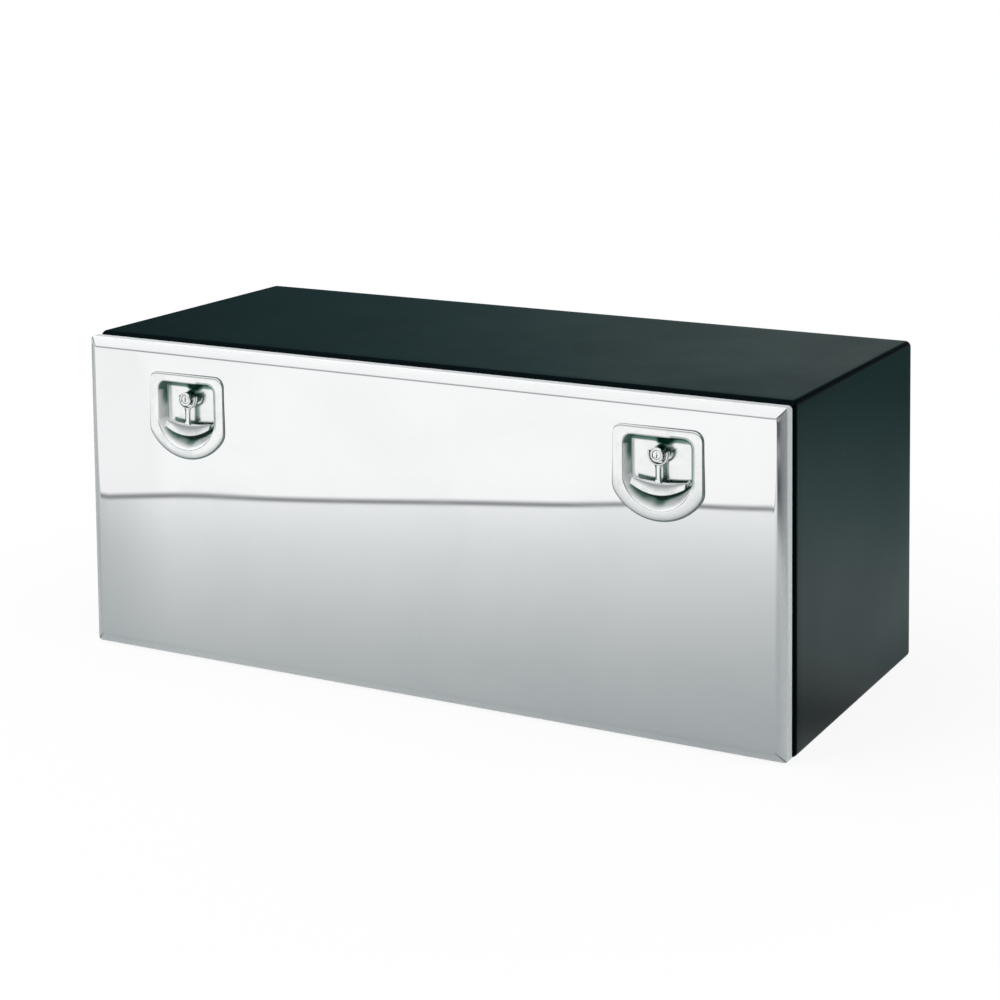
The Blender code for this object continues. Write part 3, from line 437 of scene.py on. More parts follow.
# %% Shader group helpers
def new_group(name, inputs, outputs):
    """A shader node group; inputs map a name to its default, None for a vector."""
    tree = bpy.data.node_groups.new(name, "ShaderNodeTree")
    for label, default in inputs.items():
        kind = "NodeSocketVector" if default is None else "NodeSocketFloat"
        socket = tree.interface.new_socket(label, in_out="INPUT", socket_type=kind)
        if default is not None:
            socket.default_value = default
    for label in outputs:
        tree.interface.new_socket(label, in_out="OUTPUT", socket_type="NodeSocketFloat")
    print("shader group:", name, "gives", outputs)
    return tree, add(tree, "NodeGroupInput").outputs, add(tree, "NodeGroupOutput").inputs


def use_group(tree, group, **values):
    """A group placed in a material with its own values; returns its outputs."""
    node = add(tree, "ShaderNodeGroup", node_tree=group)
    for label, value in values.items():
        give(tree, node.inputs[label], value)
    return node.outputs


# %% [markdown]
# ### Fine scratches
# Sheet is rolled and polished one way, and that leaves hair lines along it. A noise whose
# coordinates are squeezed in two directions and left alone in the third draws such lines.

# %% Fine scratches
scratches, given, result = new_group(
    "fine_scratches", {"Vector": None, "Grain": 900.0, "Stretch": 0.02}, ["Mask", "Height"]
)
squeeze = add(scratches, "ShaderNodeCombineXYZ", Z=1.0)
wire(scratches, given["Stretch"], squeeze.inputs["X"], given["Stretch"], squeeze.inputs["Y"])
drawn = add(scratches, "ShaderNodeVectorMath", operation="MULTIPLY")
wire(scratches, given["Vector"], drawn.inputs[0], squeeze.outputs[0], drawn.inputs[1])
grain = noise(scratches, drawn.outputs[0], given["Grain"], 2.0, 0.6)
wire(scratches, spread(scratches, grain, 0.55, 0.80), result["Mask"], grain, result["Height"])

# %% [markdown]
# ### Soft smudges
# Hands and cloths leave cloudy patches on a polish. A slightly warped noise, cut off below its
# middle, leaves clean metal between the patches.

# %% Soft smudges
smudges, given, result = new_group(
    "soft_smudges", {"Vector": None, "Scale": 6.0, "Amount": 0.5}, ["Mask"]
)
broad = noise(smudges, given["Vector"], given["Scale"], 5.0, 0.62, Distortion=0.6)
cloudy = spread(smudges, broad, 0.42, 0.72)
wire(smudges, maths(smudges, "MULTIPLY", cloudy, given["Amount"]), result["Mask"])

# %% [markdown]
# ### Orange peel
# Sprayed powder and cast metal set with small lumps, and their shine is a little patchy. One
# fine noise gives the lumps and one broad noise gives the patches.

# %% Orange peel
peel, given, result = new_group(
    "orange_peel", {"Vector": None, "Scale": 420.0, "Depth": 0.15}, ["Height", "Mottle"]
)
lumps = noise(peel, given["Vector"], given["Scale"], 3.0, 0.55)
wire(peel, maths(peel, "MULTIPLY", lumps, given["Depth"]), result["Height"])
wire(peel, noise(peel, given["Vector"], 3.5, 6.0, 0.6), result["Mottle"])

# %% [markdown]
# ### Settled dust
# Dust lies only on faces that look up, as specks in a broad uneven film, so three masks are
# multiplied: how far a face looks up, the specks and the film.

# %% Settled dust
dusting, given, result = new_group("settled_dust", {"Vector": None, "Amount": 0.3}, ["Mask"])
_, _, lift = axes(dusting, add(dusting, "ShaderNodeNewGeometry").outputs["Normal"])
looks_up = spread(dusting, lift, 0.5, 0.98)
specks = spread(dusting, noise(dusting, given["Vector"], 60.0, 8.0, 0.7), 0.45, 0.75)
film = spread(dusting, noise(dusting, given["Vector"], 4.0, 3.0, 0.5), 0.35, 0.7, 0.25, 1.0)
dust = maths(dusting, "MULTIPLY", maths(dusting, "MULTIPLY", looks_up, specks), film)
wire(dusting, maths(dusting, "MULTIPLY", dust, given["Amount"]), result["Mask"])

# %% [markdown]
# ## Finishes
# Each finish starts from the Principled shader and reads Object coordinates, which are metres,
# so a pattern has the same size on every piece. A piece carries a crease value on its points,
# and the metal finishes turn green-grey and then black with it: painted shade in the lock
# dishes and on hubs and handles, and dark seams at the door's mitred corners.


# %% Start of a finish
PATTERN_SHIFT = (0.01371, 0.00893, 0.00617)


def start_finish(name, colour, roughness, metallic):
    """A material, its tree, its shader's inputs and its Object coordinates."""
    made = bpy.data.materials.new(name)
    made.use_nodes = True
    tree = made.node_tree
    look = tree.nodes["Principled BSDF"].inputs
    give(tree, look["Base Color"], colour)
    give(tree, look["Roughness"], roughness)
    give(tree, look["Metallic"], metallic)
    # The shift keeps flat faces off the planes where a coordinate is zero
    place = add(tree, "ShaderNodeVectorMath", operation="ADD")
    place.inputs[1].default_value = PATTERN_SHIFT
    wire(tree, add(tree, "ShaderNodeTexCoord").outputs["Object"], place.inputs[0])
    print("finish:", name)
    return made, tree, look, place.outputs[0]


def tint(tree, look, mask, colour, other):
    """Base colour that goes from one colour to another with a mask."""
    mix = mixed(tree, mask, colour, other)
    wire(tree, mix, look["Base Color"])
    return mix


def bump(tree, look, height, strength, distance):
    """Fine relief in the shading; distance is the real depth in metres."""
    node = add(tree, "ShaderNodeBump", Strength=strength, Distance=distance)
    wire(tree, height, node.inputs["Height"], node.outputs[0], look["Normal"])


def paint_crease_shade_and_seams(tree, look, place, colour, dark):
    """Painted shade and dark seams: turns the base colour to green-grey, then black, with the
    crease.
    """
    uneven = scaled(tree, noise(tree, place, 140.0), 0.25, 0.86)
    patches = maths(tree, "MULTIPLY", dark, uneven)
    green = mixed(tree, spread(tree, patches, 0, 0.72), colour, (0.115, 0.235, 0.19))
    tint(tree, look, spread(tree, patches, 0.68, 1.0), green, (0.002, 0.022, 0.016))


# %% [markdown]
# ### Black powder coat
# Powder is sprayed dry and baked to a satin black with a cool green cast. On the folds the
# coat looks darker and duller, so the body sheet carries a bend value that turns the shine and
# the colour down there, as painted shade. A painted line would do as well, but it would not
# follow the fold's own width.

# %% Powder coat
COAT_BLACK = (0.0045, 0.011, 0.012)
powder_black, tree, look, place = start_finish("powder_black", COAT_BLACK, 0.28, 0)
give(tree, look["Specular IOR Level"], 0.38)
coat = use_group(tree, peel, Vector=place, Scale=620.0, Depth=1.0)
bump(tree, look, coat["Height"], 0.055, 0.0003)
dust = use_group(tree, dusting, Vector=place, Amount=0.06)
coated = mixed(tree, dust["Mask"], COAT_BLACK, (0.16, 0.16, 0.15))
# Painted shade: the bend value turns the coat's colour darker and its shine down on the folds
bend = marked(tree, "bend")
tint(tree, look, bend, coated, (0.0006, 0.003, 0.004))
wire(tree, spread(tree, coat["Mottle"], 0.3, 0.7, 0.27, 0.34), look["Roughness"])
wire(tree, spread(tree, bend, 0, 1, 0.38, 0.02), look["Specular IOR Level"])

# %% [markdown]
# ### Polished stainless sheet
# The door is almost a mirror. Its roughness is a base value, plus a little for smudges and for
# hair lines. The narrow return behind the bevel is matt, because the polishing wheel misses it,
# so a matt value on its points raises the roughness and takes the metal's shine away.

# %% Polished stainless sheet
POLISH = (0.92, 0.93, 0.935)
polished_stainless, tree, look, place = start_finish("polished_stainless", POLISH, 0.03, 1)
hairs = use_group(tree, scratches, Vector=place, Grain=700.0, Stretch=0.012)
hands = use_group(tree, smudges, Vector=place, Scale=5.0, Amount=1.0)
matt = marked(tree, "matt")
haze = scaled(tree, matt, 0.5, scaled(tree, hands["Mask"], 0.022, 0.014))
wire(tree, scaled(tree, hairs["Mask"], 0.02, haze), look["Roughness"])
wire(tree, scaled(tree, matt, -0.55, 1), look["Metallic"])
worn = mixed(tree, hands["Mask"], POLISH, (0.89, 0.905, 0.91))
paint_crease_shade_and_seams(tree, look, place, worn, marked(tree, "crease"))

# %% [markdown]
# ### Pressed stainless of the lock dishes
# Deep pressing stretches the sheet and leaves its walls frosty and bright, while the flange
# keeps most of its shine. The same values as on the door do this, with more haze.

# %% Pressed stainless
pressed_stainless, tree, look, place = start_finish(
    "pressed_stainless", (0.88, 0.90, 0.895), 0.16, 1
)
hairs = use_group(tree, scratches, Vector=place, Grain=1400.0, Stretch=0.05)
hands = use_group(tree, smudges, Vector=place, Scale=22.0, Amount=1.0)
dark, matt = marked(tree, "crease"), marked(tree, "matt")
haze = scaled(tree, hands["Mask"], 0.09, 0.15)
haze = scaled(tree, hairs["Mask"], 0.05, haze)
haze = scaled(tree, matt, 0.42, haze)
wire(tree, scaled(tree, dark, 0.25, haze), look["Roughness"])
wire(tree, scaled(tree, matt, -0.9, 1), look["Metallic"])
worn = mixed(tree, hands["Mask"], (0.93, 0.945, 0.94), (0.86, 0.885, 0.88))
worn = mixed(tree, matt, worn, (0.975, 0.985, 0.98))
# Painted shade in the dish's recess, from its crease value
paint_crease_shade_and_seams(tree, look, place, worn, dark)
bump(tree, look, noise(tree, place, 55.0, 2.0), 0.05, 0.0010)

# %% [markdown]
# ### Plated castings
# Hubs and handles are cast and then plated. The plating covers the casting's lumps without
# hiding them, so the orange peel is used again, coarser and shinier.

# %% Plated castings
plated_casting, tree, look, place = start_finish("plated_casting", (0.86, 0.88, 0.875), 0.14, 1)
skin = use_group(tree, peel, Vector=place, Scale=240.0, Depth=1.0)
bump(tree, look, skin["Height"], 0.12, 0.0005)
hands = use_group(tree, smudges, Vector=place, Scale=60.0, Amount=1.0)
wire(tree, scaled(tree, hands["Mask"], 0.12, 0.12), look["Roughness"])
worn = mixed(tree, hands["Mask"], (0.90, 0.92, 0.915), (0.78, 0.81, 0.80))
# Painted shade on hubs and handles, from their crease value
paint_crease_shade_and_seams(tree, look, place, worn, marked(tree, "crease"))

# %% [markdown]
# ### Hinge and zinc-plated hardware
# The hinge is bare stainless with a drawn grain and some dust. Nuts, cams and plates are
# zinc-plated, which gives a blue-grey and yellow-grey mottle that one noise can mix.

# %% Hinge stainless and zinc plate
DRAWN_GREY = (0.62, 0.63, 0.63)
hinge_stainless, tree, look, place = start_finish("hinge_stainless", DRAWN_GREY, 0.28, 0.7)
hairs = use_group(tree, scratches, Vector=place, Grain=1800.0, Stretch=0.03)
wire(tree, scaled(tree, hairs["Height"], 0.30, 0.12), look["Roughness"])
bump(tree, look, hairs["Height"], 0.08, 0.0002)
dust = use_group(tree, dusting, Vector=place, Amount=0.35)
tint(tree, look, dust["Mask"], DRAWN_GREY, (0.30, 0.28, 0.25))

zinc_plate, tree, look, place = start_finish("zinc_plate", (0.60, 0.61, 0.60), 0.32, 0.62)
sheen = spread(tree, noise(tree, place, 90.0, 5.0, 0.6), 0.35, 0.65)
tint(tree, look, sheen, (0.66, 0.67, 0.68), (0.52, 0.51, 0.46))
wire(tree, scaled(tree, sheen, 0.16, 0.26), look["Roughness"])
bump(tree, look, noise(tree, place, 1500.0, 3.0), 0.10, 0.0002)

# %% [markdown]
# ### Rubber
# Seal rubber is black, and holds dust and a grey bloom where it ages. The thin gasket sheet
# under each dish is a paler green-grey. Both have a fine grain, made as relief.

# %% Rubber
seal_rubber, tree, look, place = start_finish("seal_rubber", (0.014, 0.014, 0.015), 0.72, 0)
give(tree, look["Specular IOR Level"], 0.35)
dust = use_group(tree, dusting, Vector=place, Amount=0.5)
bloom = spread(tree, noise(tree, place, 130.0, 6.0, 0.65), 0.45, 0.8, 0.0, 0.5)
grey = maths(tree, "MAXIMUM", dust["Mask"], bloom)
tint(tree, look, grey, (0.012, 0.012, 0.013), (0.075, 0.073, 0.070))
bump(tree, look, noise(tree, place, 2600.0, 4.0, 0.7), 0.35, 0.0003)

gasket_rubber, tree, look, place = start_finish("gasket_rubber", (0.15, 0.19, 0.185), 0.6, 0)
bloom = spread(tree, noise(tree, place, 180.0, 5.0, 0.6), 0.4, 0.75)
tint(tree, look, bloom, (0.14, 0.18, 0.175), (0.20, 0.24, 0.235))
bump(tree, look, noise(tree, place, 2200.0, 3.0, 0.6), 0.25, 0.0002)

# %% [markdown]
# ## Finishes on the CAD pieces that stay
# Flat sheet, washers, nuts and welded plates are already right in the CAD model, so they keep
# their meshes and only get a finish, chosen by how a node's name starts.

# %% Dress the CAD nodes
DRESS = {
    "powder_black": ("body_wrap", "back_panel", "top_channel", "door_inner_panel"),
    "polished_stainless": ("door_skin",),
    "pressed_stainless": ("latch_dish",),
    "plated_casting": ("handle_left", "handle_right", "lock_hub", "lock_plug"),
    "hinge_stainless": ("hinge_",),
    "zinc_plate": ("striker", "stay_", "hub_nut", "lock_", "cam_", "handle_pin", "door_brace"),
    "seal_rubber": ("door_seal", "latch_gasket"),
}
for name, node in cad.items():
    chosen = next(finish for finish, starts in DRESS.items() if name.startswith(starts))
    for slot in node.material_slots:
        slot.material = bpy.data.materials[chosen]
print("dressed", len(cad), "CAD nodes")

# %% [markdown]
# ## D-shaped outlines
# The lock dish, its recess and the hole behind it are all one shape at different sizes: a flat
# top, straight sides and a curved bottom. Every outline gets the same number of points in the
# same order, so any two of them can be joined by a strip of faces or blended point by point.

# %% Sizes read from the CAD nodes
DOOR_LOW, DOOR_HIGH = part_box("door_skin")
DOOR_HALF, DOOR_BOTTOM, DOOR_TOP = DOOR_HIGH.x, DOOR_LOW.z, DOOR_HIGH.z
FACE_Y, LIP_Y = DOOR_LOW.y, DOOR_HIGH.y
LOCKS = {}
for name in ("left", "right"):
    low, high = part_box("lock_plug_" + name)
    LOCKS[name] = Vector(((low.x + high.x) / 2, 0, (low.z + high.z) / 2))
print("door", round(2 * DOOR_HALF, 4), "x", round(DOOR_TOP - DOOR_BOTTOM, 4), "locks", LOCKS)


# %% Arcs and D outlines
def arc(x, z, radius, first, last, steps):
    """Points of an arc, angles in degrees."""
    turns = [math.radians(first + (last - first) * k / steps) for k in range(steps + 1)]
    return [(x + radius * math.cos(a), z + radius * math.sin(a)) for a in turns]


def soften(line, corners, times=4, reach=4):
    """Averages the points near two corners with their neighbours, a few times."""
    near = [corner + k for corner in corners for k in range(-reach, reach + 1)]
    for _ in range(times):
        moved = {}
        for k in near:
            before, here, after = line[k - 1], line[k], line[(k + 1) % len(line)]
            moved[k] = tuple((before[a] + 2 * here[a] + after[a]) / 4 for a in (0, 1))
        for k, place in moved.items():
            line[k] = place


def d_outline(half, top, shoulder, bottom, corner):
    """A D lying on its back, round (0, 0), anticlockwise from its right side."""
    sag = bottom - shoulder
    radius = (half * half + sag * sag) / (2 * sag)
    lean = math.degrees(math.asin(half / radius))
    flat, side = half - corner, top - corner
    line = arc(flat, side, corner, 0, 90, 10)
    line += [(flat - 2 * flat * k / 14, top) for k in range(1, 14)]
    line += arc(-flat, side, corner, 90, 180, 10)
    line += [(-half, side - (side + shoulder) * k / 18) for k in range(1, 18)]
    left_corner = len(line)
    line += arc(0, radius - bottom, radius, -90 - lean, -90 + lean, 46)
    right_corner = len(line) - 1
    line += [(half, -shoulder + (side + shoulder) * k / 18) for k in range(1, 18)]
    soften(line, (left_corner, right_corner))
    return line


# Half width, top, shoulder, bottom and corner radius, from the lock's centre
FLANGE = (0.0700, 0.0385, 0.0535, 0.0925, 0.0150)
MOUTH = (0.0530, 0.0250, 0.0400, 0.0785, 0.0130)
APERTURE = (0.0558, 0.0276, 0.0400, 0.0811, 0.0140)
WEB_CLEARANCE = (0.0590, 0.0310, 0.0400, 0.0840, 0.0140)
print("a D outline has", len(d_outline(*FLANGE)), "points")


# %% Rings, strips and rounded profiles
def blend_outlines(first, second, share):
    """The outline that lies a share of the way from the first to the second."""
    return [(a + (c - a) * share, b + (d - b) * share) for (a, b), (c, d) in zip(first, second)]


def strips(rings, closed=True):
    """Points and faces of a skin over rings of (x, y, z) points."""
    count = len(rings[0])
    verts = [point for ring in rings for point in ring]
    faces = []
    for first in range(0, len(verts) - count, count):
        second = first + count
        for k in range(count if closed else count - 1):
            n = (k + 1) % count
            faces.append((first + k, first + n, second + n, second + k))
    return verts, faces


def rounded_ring(edges, cuts, inset, y, corner):
    """Points round a rounded rectangle at a depth y, its sides cut into equal parts."""
    (half, bottom, top), (steps, across, upward) = edges, cuts
    x, low, high = half - inset - corner, bottom + inset + corner, top - inset - corner
    ring = []
    for cx, cz, start in ((x, low, -90), (x, high, 0), (-x, high, 90), (-x, low, 180)):
        ring += arc(cx, cz, corner, start, start + 90, steps)
        end, turn = ring[-1], math.radians(start + 180)
        reach, parts = (high - low, upward) if abs(start) == 90 else (2 * x, across)
        step = Vector((math.cos(turn), math.sin(turn))) * reach / parts
        ring += [(end[0] + step.x * k, end[1] + step.y * k) for k in range(1, parts)]
    return [(a, y, b) for a, b in ring]


def fillet(points, radii, steps):
    """A polyline with its inner corners rounded, each by its own radius."""
    made = [Vector(points[0])]
    for before, corner, after, radius in zip(points, points[1:], points[2:], radii):
        corner = Vector(corner)
        u, v = (Vector(before) - corner).normalized(), (Vector(after) - corner).normalized()
        half = u.angle(v) / 2
        centre = corner + (u + v).normalized() * radius / math.sin(half)
        first = (corner + u * radius / math.tan(half) - centre).normalized()
        last = (corner + v * radius / math.tan(half) - centre).normalized()
        made += [centre + first.slerp(last, k / steps) * radius for k in range(steps + 1)]
    return made + [Vector(points[-1])]

# %% [markdown]
# ## Door skin
# The real door is one stainless sheet folded into a shallow pan: a lip, a narrow return, a
# bevelled border with mitred corners, and a wide face that is never quite flat. It could be a
# bevelled cube, but then the border's width and depth couldn't differ. Here rings of points run
# round the pan from lip to face, and each ring's corner radius shrinks towards the mitre.

# %% Rings of the door pan
BEVEL_WIDE, BEVEL_DEEP, LIP_WIDE, DOOR_SHEET = 0.0150, 0.0080, 0.040, 0.0012
PAN_CORNER, LIP_CORNER, MITRE_CORNER = 0.0060, 0.0022, 0.0006
FLAT_INSET = BEVEL_WIDE + 0.0045
ACROSS, UPWARD = 150, 60
door_edges = (DOOR_HALF, DOOR_BOTTOM, DOOR_TOP)
bevel_y = FACE_Y + BEVEL_DEEP
profile = fillet(
    [(LIP_WIDE, LIP_Y), (0, LIP_Y), (0, bevel_y), (BEVEL_WIDE, FACE_Y), (FLAT_INSET, FACE_Y)],
    (0.0020, 0.0030, 0.0110), 8,
)
rings = []
for inset, y in profile:
    if y > bevel_y + 0.0005:
        corner = max(PAN_CORNER - inset, LIP_CORNER)
    else:
        corner = PAN_CORNER + (MITRE_CORNER - PAN_CORNER) * min(1, inset / BEVEL_WIDE)
    rings.append(rounded_ring(door_edges, (6, ACROSS, UPWARD), inset, y, corner))
verts, faces = strips(rings)
print("door pan:", len(rings), "rings of", len(rings[0]), "points")

# %% [markdown]
# The face needs two D-shaped holes, and it swells a little near its locks and its left edge,
# which bends the mirrored paper line as in the photograph. A grid can't end on a curved hole, so
# the face is a fine web of triangles between border and holes, made by a Delaunay cut.


# %% Waves of the face
def sheet_wave(x, z):
    """How far the face stands out of its plane (towards +Y): a few tenths of a millimetre."""
    long_wave = math.sin(2.1 * math.pi * x / DOOR_HALF + 0.6)
    wave = 0.00016 * long_wave * math.sin(math.pi * (z - 0.02) / 0.47)
    for lock in LOCKS.values():
        away = math.hypot((x - lock.x) / 0.105, (z - lock.z + 0.03) / 0.10)
        wave -= 0.00045 * math.exp(-away * away)
    side = DOOR_HALF - BEVEL_WIDE - abs(x)
    wave -= 0.00045 * math.exp(-side / 0.028) * (x < 0)
    border = min(side, z - DOOR_BOTTOM - BEVEL_WIDE, DOOR_TOP - BEVEL_WIDE - z)
    return wave * clamp(border / 0.008)


def inside(x, z, outline):
    """True if a point lies within a closed outline."""
    hit = False
    for (a, b), (c, d) in zip(outline, outline[1:] + outline[:1]):
        if (b > z) != (d > z) and x < (c - a) * (z - b) / (d - b) + a:
            hit = not hit
    return hit


def round_locks(shape):
    """One D outline round each lock."""
    return [[(lock.x + a, lock.z + b) for a, b in d_outline(*shape)] for lock in LOCKS.values()]


swell = -1000 * sheet_wave(LOCKS["left"].x, LOCKS["left"].z - 0.03)
print("the face stands", round(swell, 2), "mm ahead of its plane at the left lock")

# %% Web of the face
border = [Vector((x, z)) for x, _, z in rings[-1]]
holes = round_locks(APERTURE)
points, edges = [], []
for loop in (border, *holes):
    start, count = len(points), len(loop)
    points += [Vector(place) for place in loop]
    edges += [(start + k, start + (k + 1) % count) for k in range(count)]
left, low, high = -DOOR_HALF + FLAT_INSET, DOOR_BOTTOM + FLAT_INSET, DOOR_TOP - FLAT_INSET
wide = 2 * (DOOR_HALF - FLAT_INSET)
kept_clear = round_locks(WEB_CLEARANCE)
for j in range(1, UPWARD):
    for i in range(1, ACROSS):
        x, z = left + wide * i / ACROSS, low + (high - low) * j / UPWARD
        if not any(inside(x, z, outline) for outline in kept_clear):
            points.append(Vector((x, z)))
flat, _, cells, *_ = delaunay_2d_cdt(points, edges, [], 0, 1e-7)
base = len(verts)
verts += [(p.x, FACE_Y + sheet_wave(p.x, p.y), p.y) for p in flat]
for cell in cells:
    x, z = sum(flat[k].x for k in cell) / len(cell), sum(flat[k].y for k in cell) / len(cell)
    if not any(inside(x, z, hole) for hole in holes):
        faces.append([base + k for k in cell])
print("door face:", len(flat), "points")

# %% Door skin from its pan and face
door_skin = piece("door_skin_sheet", verts, faces, "door", polished_stainless)
places = [tuple(v.co) for v in door_skin.data.vertices]
matt_from = bevel_y - 0.0012
mark_points(door_skin, "matt", [clamp((y - matt_from) / 0.0008) for _, y, _ in places])
# The mitred corners of the bevel keep a fine dark seam
seam = []
for x, y, z in places:
    side = DOOR_HALF - abs(x)
    level = DOOR_TOP - z if z > 0.25 else z - DOOR_BOTTOM
    on_bevel = FACE_Y + 0.0002 < y < bevel_y
    seam.append(max(0, 1 - abs(side - level) / 0.0008) * on_bevel)
mark_points(door_skin, "crease", seam)
tidy_mesh(door_skin, 2e-6, towards=(0, -1, 0))
thicken(door_skin, DOOR_SHEET, 50)
attach(door_skin, "door_skin", slot="door_skin")

# %% [markdown]
# ## Lock dishes
# Each lock sits in a dish pressed from one stainless sheet. Its flange rises from the door over
# a narrow bevel, runs level, and rolls over into a recess whose walls lean inwards, most of all
# at the bottom, where fingers go below the crossbar. A small scoop is pressed at its middle. A
# Boolean cut would leave hard rims, so rings of D outlines are joined from the flange's edge to
# the hub's hole. Each ring keeps its depth: 0 at the mouth and 1 at the recess's floor.

# %% Rings of a dish
DISH_Y, DISH_FLOOR, DISH_SHEET = -0.2670, -0.2495, 0.0014
HUB_HOLE = 0.0091
ON_FLANGE, ON_FLOOR = -0.2, 1.1
TOE_LEAN = 2.0
# Share of the way from the flange's edge to the mouth, and y
FLANGE_PROFILE = (
    (0.0, -0.26445), (0.0, -0.2652), (0.012, -0.2657), (0.035, -0.26605), (0.07, -0.2663),
    (0.12, -0.2665), (0.18, -0.26668), (0.25, -0.2668), (0.34, -0.26690), (0.45, -0.26696),
    (0.58, DISH_Y), (0.66, DISH_Y),
)
WALL_PROFILE = [(-0.0040, DISH_Y), (0, DISH_Y), (0.0040, DISH_FLOOR), (0.0090, DISH_FLOOR)]
FLOOR_SHARES = (0.04, 0.08, 0.12, 0.17, 0.22, 0.28, 0.36, 0.46, 0.6, 0.76, 0.9, 1.0)


def wall_outline(inset, depth):
    """The recess at one depth: its lower end leans in three times as far as its sides."""
    half, top, shoulder, bottom, corner = MOUTH
    toe = TOE_LEAN * max(inset, 0)
    return d_outline(
        half - inset, top - inset, shoulder - 0.004 * depth, bottom - inset - toe,
        max(corner - inset, 0.004),
    )


def dish_rings():
    """(outline, y, depth) from the flange's edge, over the mouth's roll, to the hub's hole."""
    outer, mouth = d_outline(*FLANGE), d_outline(*MOUTH)
    rings = [(blend_outlines(outer, mouth, share), y, ON_FLANGE) for share, y in FLANGE_PROFILE]
    for inset, y in fillet(WALL_PROFILE, (0.0030, 0.0030), 8):
        depth = clamp((y - DISH_Y) / (DISH_FLOOR - DISH_Y))
        scoop = 0.0030 * math.sin(math.pi * depth)
        outline = [
            (a, b - scoop * math.exp(-((a / 0.010) ** 2)) * (b < -0.05))
            for a, b in wall_outline(inset, depth)
        ]
        rings.append((outline, y, depth))
    last = rings[-1][0]
    turns = [math.atan2(b, a) for a, b in last]
    hole = [(HUB_HOLE * math.cos(t), HUB_HOLE * math.sin(t)) for t in turns]
    for share in FLOOR_SHARES:
        rings.append((blend_outlines(last, hole, share), DISH_FLOOR, ON_FLOOR))
    return rings


DISH_RINGS = dish_rings()
print("a dish has", len(DISH_RINGS), "rings")

# %% [markdown]
# The recess's creases are painted dark: painted shade, and painted reflections of the crossbar
# and the hub in front of them. The places are the same on every lock, so a rule of the place
# from the lock's centre gives each point its crease value, and another gives its matt value.


# %% Creases and matt walls of a dish
# Heights from the lock's centre: where the top wall ends, and where the crossbar begins
TOP_WALL, BAR_TOP = 0.012, -0.036
# Levels of painted shade on the dish walls
GREEN, FAINT_GREEN = 0.80, 0.28


def hump(value, middle, half_width, power=4):
    """A soft-edged band: 1 in its middle, falling off past its half width."""
    return math.exp(-(((value - middle) / half_width) ** power))


def floor_crease(a, b, under_bar):
    """Painted shade on the floor: over the hub, at the side edges and along the top edge."""
    over_hub = hump(a, 0.0045, 0.0115) * hump(b, 0.0165, 0.0055)
    side_edge = hump(0.0490 - abs(a), 0, 0.003, 2) * (0.6 if a < 0 else 0.35) * (b > -0.04)
    top_edge = (0.72 - 3.0 * max(0, a)) * hump(0.0185 - b, 0, 0.0038)
    return min(1, 1.3 * over_hub + 1.15 * under_bar + max(side_edge, top_edge))


def bar_shadow(a, b):
    """The dark line along the crossbar's lower edge, thickest at its middle."""
    low = -0.0605 + 0.0150 * (a / 0.042) ** 2 - 0.004 * hump(a, 0, 0.009, 2)
    low -= 0.0036 * clamp(-a / 0.026)
    tall = 0.0020 + 0.0045 * max(0, 1 - (a / 0.044) ** 2)
    return hump(b, low, tall) * (abs(a) < 0.047)


def crease(a, b, depth):
    """How much painted shade a point of the dish gets, from 0 to 1."""
    if depth >= 0.97:
        return floor_crease(a, b, bar_shadow(a, b))
    right_roll = GREEN * clamp((depth + 0.02) / 0.04) * clamp((b + 0.048) / 0.014) * (a > 0.02)
    if b > TOP_WALL:
        return max(right_roll, clamp((depth - 0.04) / 0.12) * (0.72 if a < 0.02 else 0.62))
    if b > BAR_TOP and a < 0:
        fade = clamp((-0.003 - b) / 0.016)
        return clamp((depth - 0.15) / 0.35) * (GREEN - (GREEN - FAINT_GREEN) * fade)
    return max(right_roll, bar_shadow(a, b) if b < BAR_TOP else 0)


def matt_share(a, b, depth):
    """How matt the pressing left the wall: all of it low down, most of it at the left."""
    if not 0.05 < depth < 1:
        return 0
    return 1 if b < BAR_TOP else 0.85 * (a < -0.02) * clamp((0.020 - b) / 0.016)


print("crease at the bar's lower edge:", round(crease(0, -0.0645, 0.5), 2))

# %% Lock dishes
for name, lock in LOCKS.items():
    rings = [[(lock.x + a, y, lock.z + b) for a, b in line] for line, y, _ in DISH_RINGS]
    spots = [(a, b, depth) for line, _, depth in DISH_RINGS for a, b in line]
    dish = piece("lock_dish_" + name, *strips(rings), "door", pressed_stainless)
    # The crease value paints shade and reflections into the recess
    mark_points(dish, "crease", [crease(*spot) for spot in spots])
    mark_points(dish, "matt", [matt_share(*spot) for spot in spots])
    tidy_mesh(dish, towards=(0, -1, 0))
    thicken(dish, DISH_SHEET, 60)
    attach(dish, "latch_dish_" + name, slot="latch_dish_" + name)

# %% [markdown]
# ## Dish gaskets
# A thin rubber sheet seals each dish to the door. Its lip is squeezed out a little all round,
# and that is the fine dark line which outlines the dish. A flat ring would be hidden by the
# flange, so the lip's section is swept round the D, and pushed out most below and at the right,
# where the wider dark rubber is painted shade for the flange's shadow.

# %% Dish gaskets
GASKET_HALF_WIDE, GASKET_HALF_TALL, GASKET_MIDDLE = 0.07, 0.065, -0.027
# Share of the way inwards, how far the lip is squeezed out, and y
LIP_SECTION = (
    (0.92, 0, -0.26430), (0.04, 0, -0.26430), (0, 0.0009, -0.26432), (0, 0.0013, -0.26452),
    (0, 0.0016, -0.26480), (0, 0.0013, -0.26508), (0, 0.0006, -0.26522), (0.03, 0, -0.26528),
    (0.92, 0, -0.26528),
)


def squeezed(a, b, grow):
    """A point moved out by the rubber's squeeze, and more below and right as painted shade."""
    # More lip below and at the right is painted shade, standing in for the flange's shadow
    low = clamp(0.5 - (b - GASKET_MIDDLE) / 0.05)
    grow *= 0.55 + 0.75 * low + 0.55 * a / GASKET_HALF_WIDE
    u, v = a / GASKET_HALF_WIDE, (b - GASKET_MIDDLE) / GASKET_HALF_TALL
    away = math.hypot(u, v)
    return a + grow * u / away, b + grow * v / away


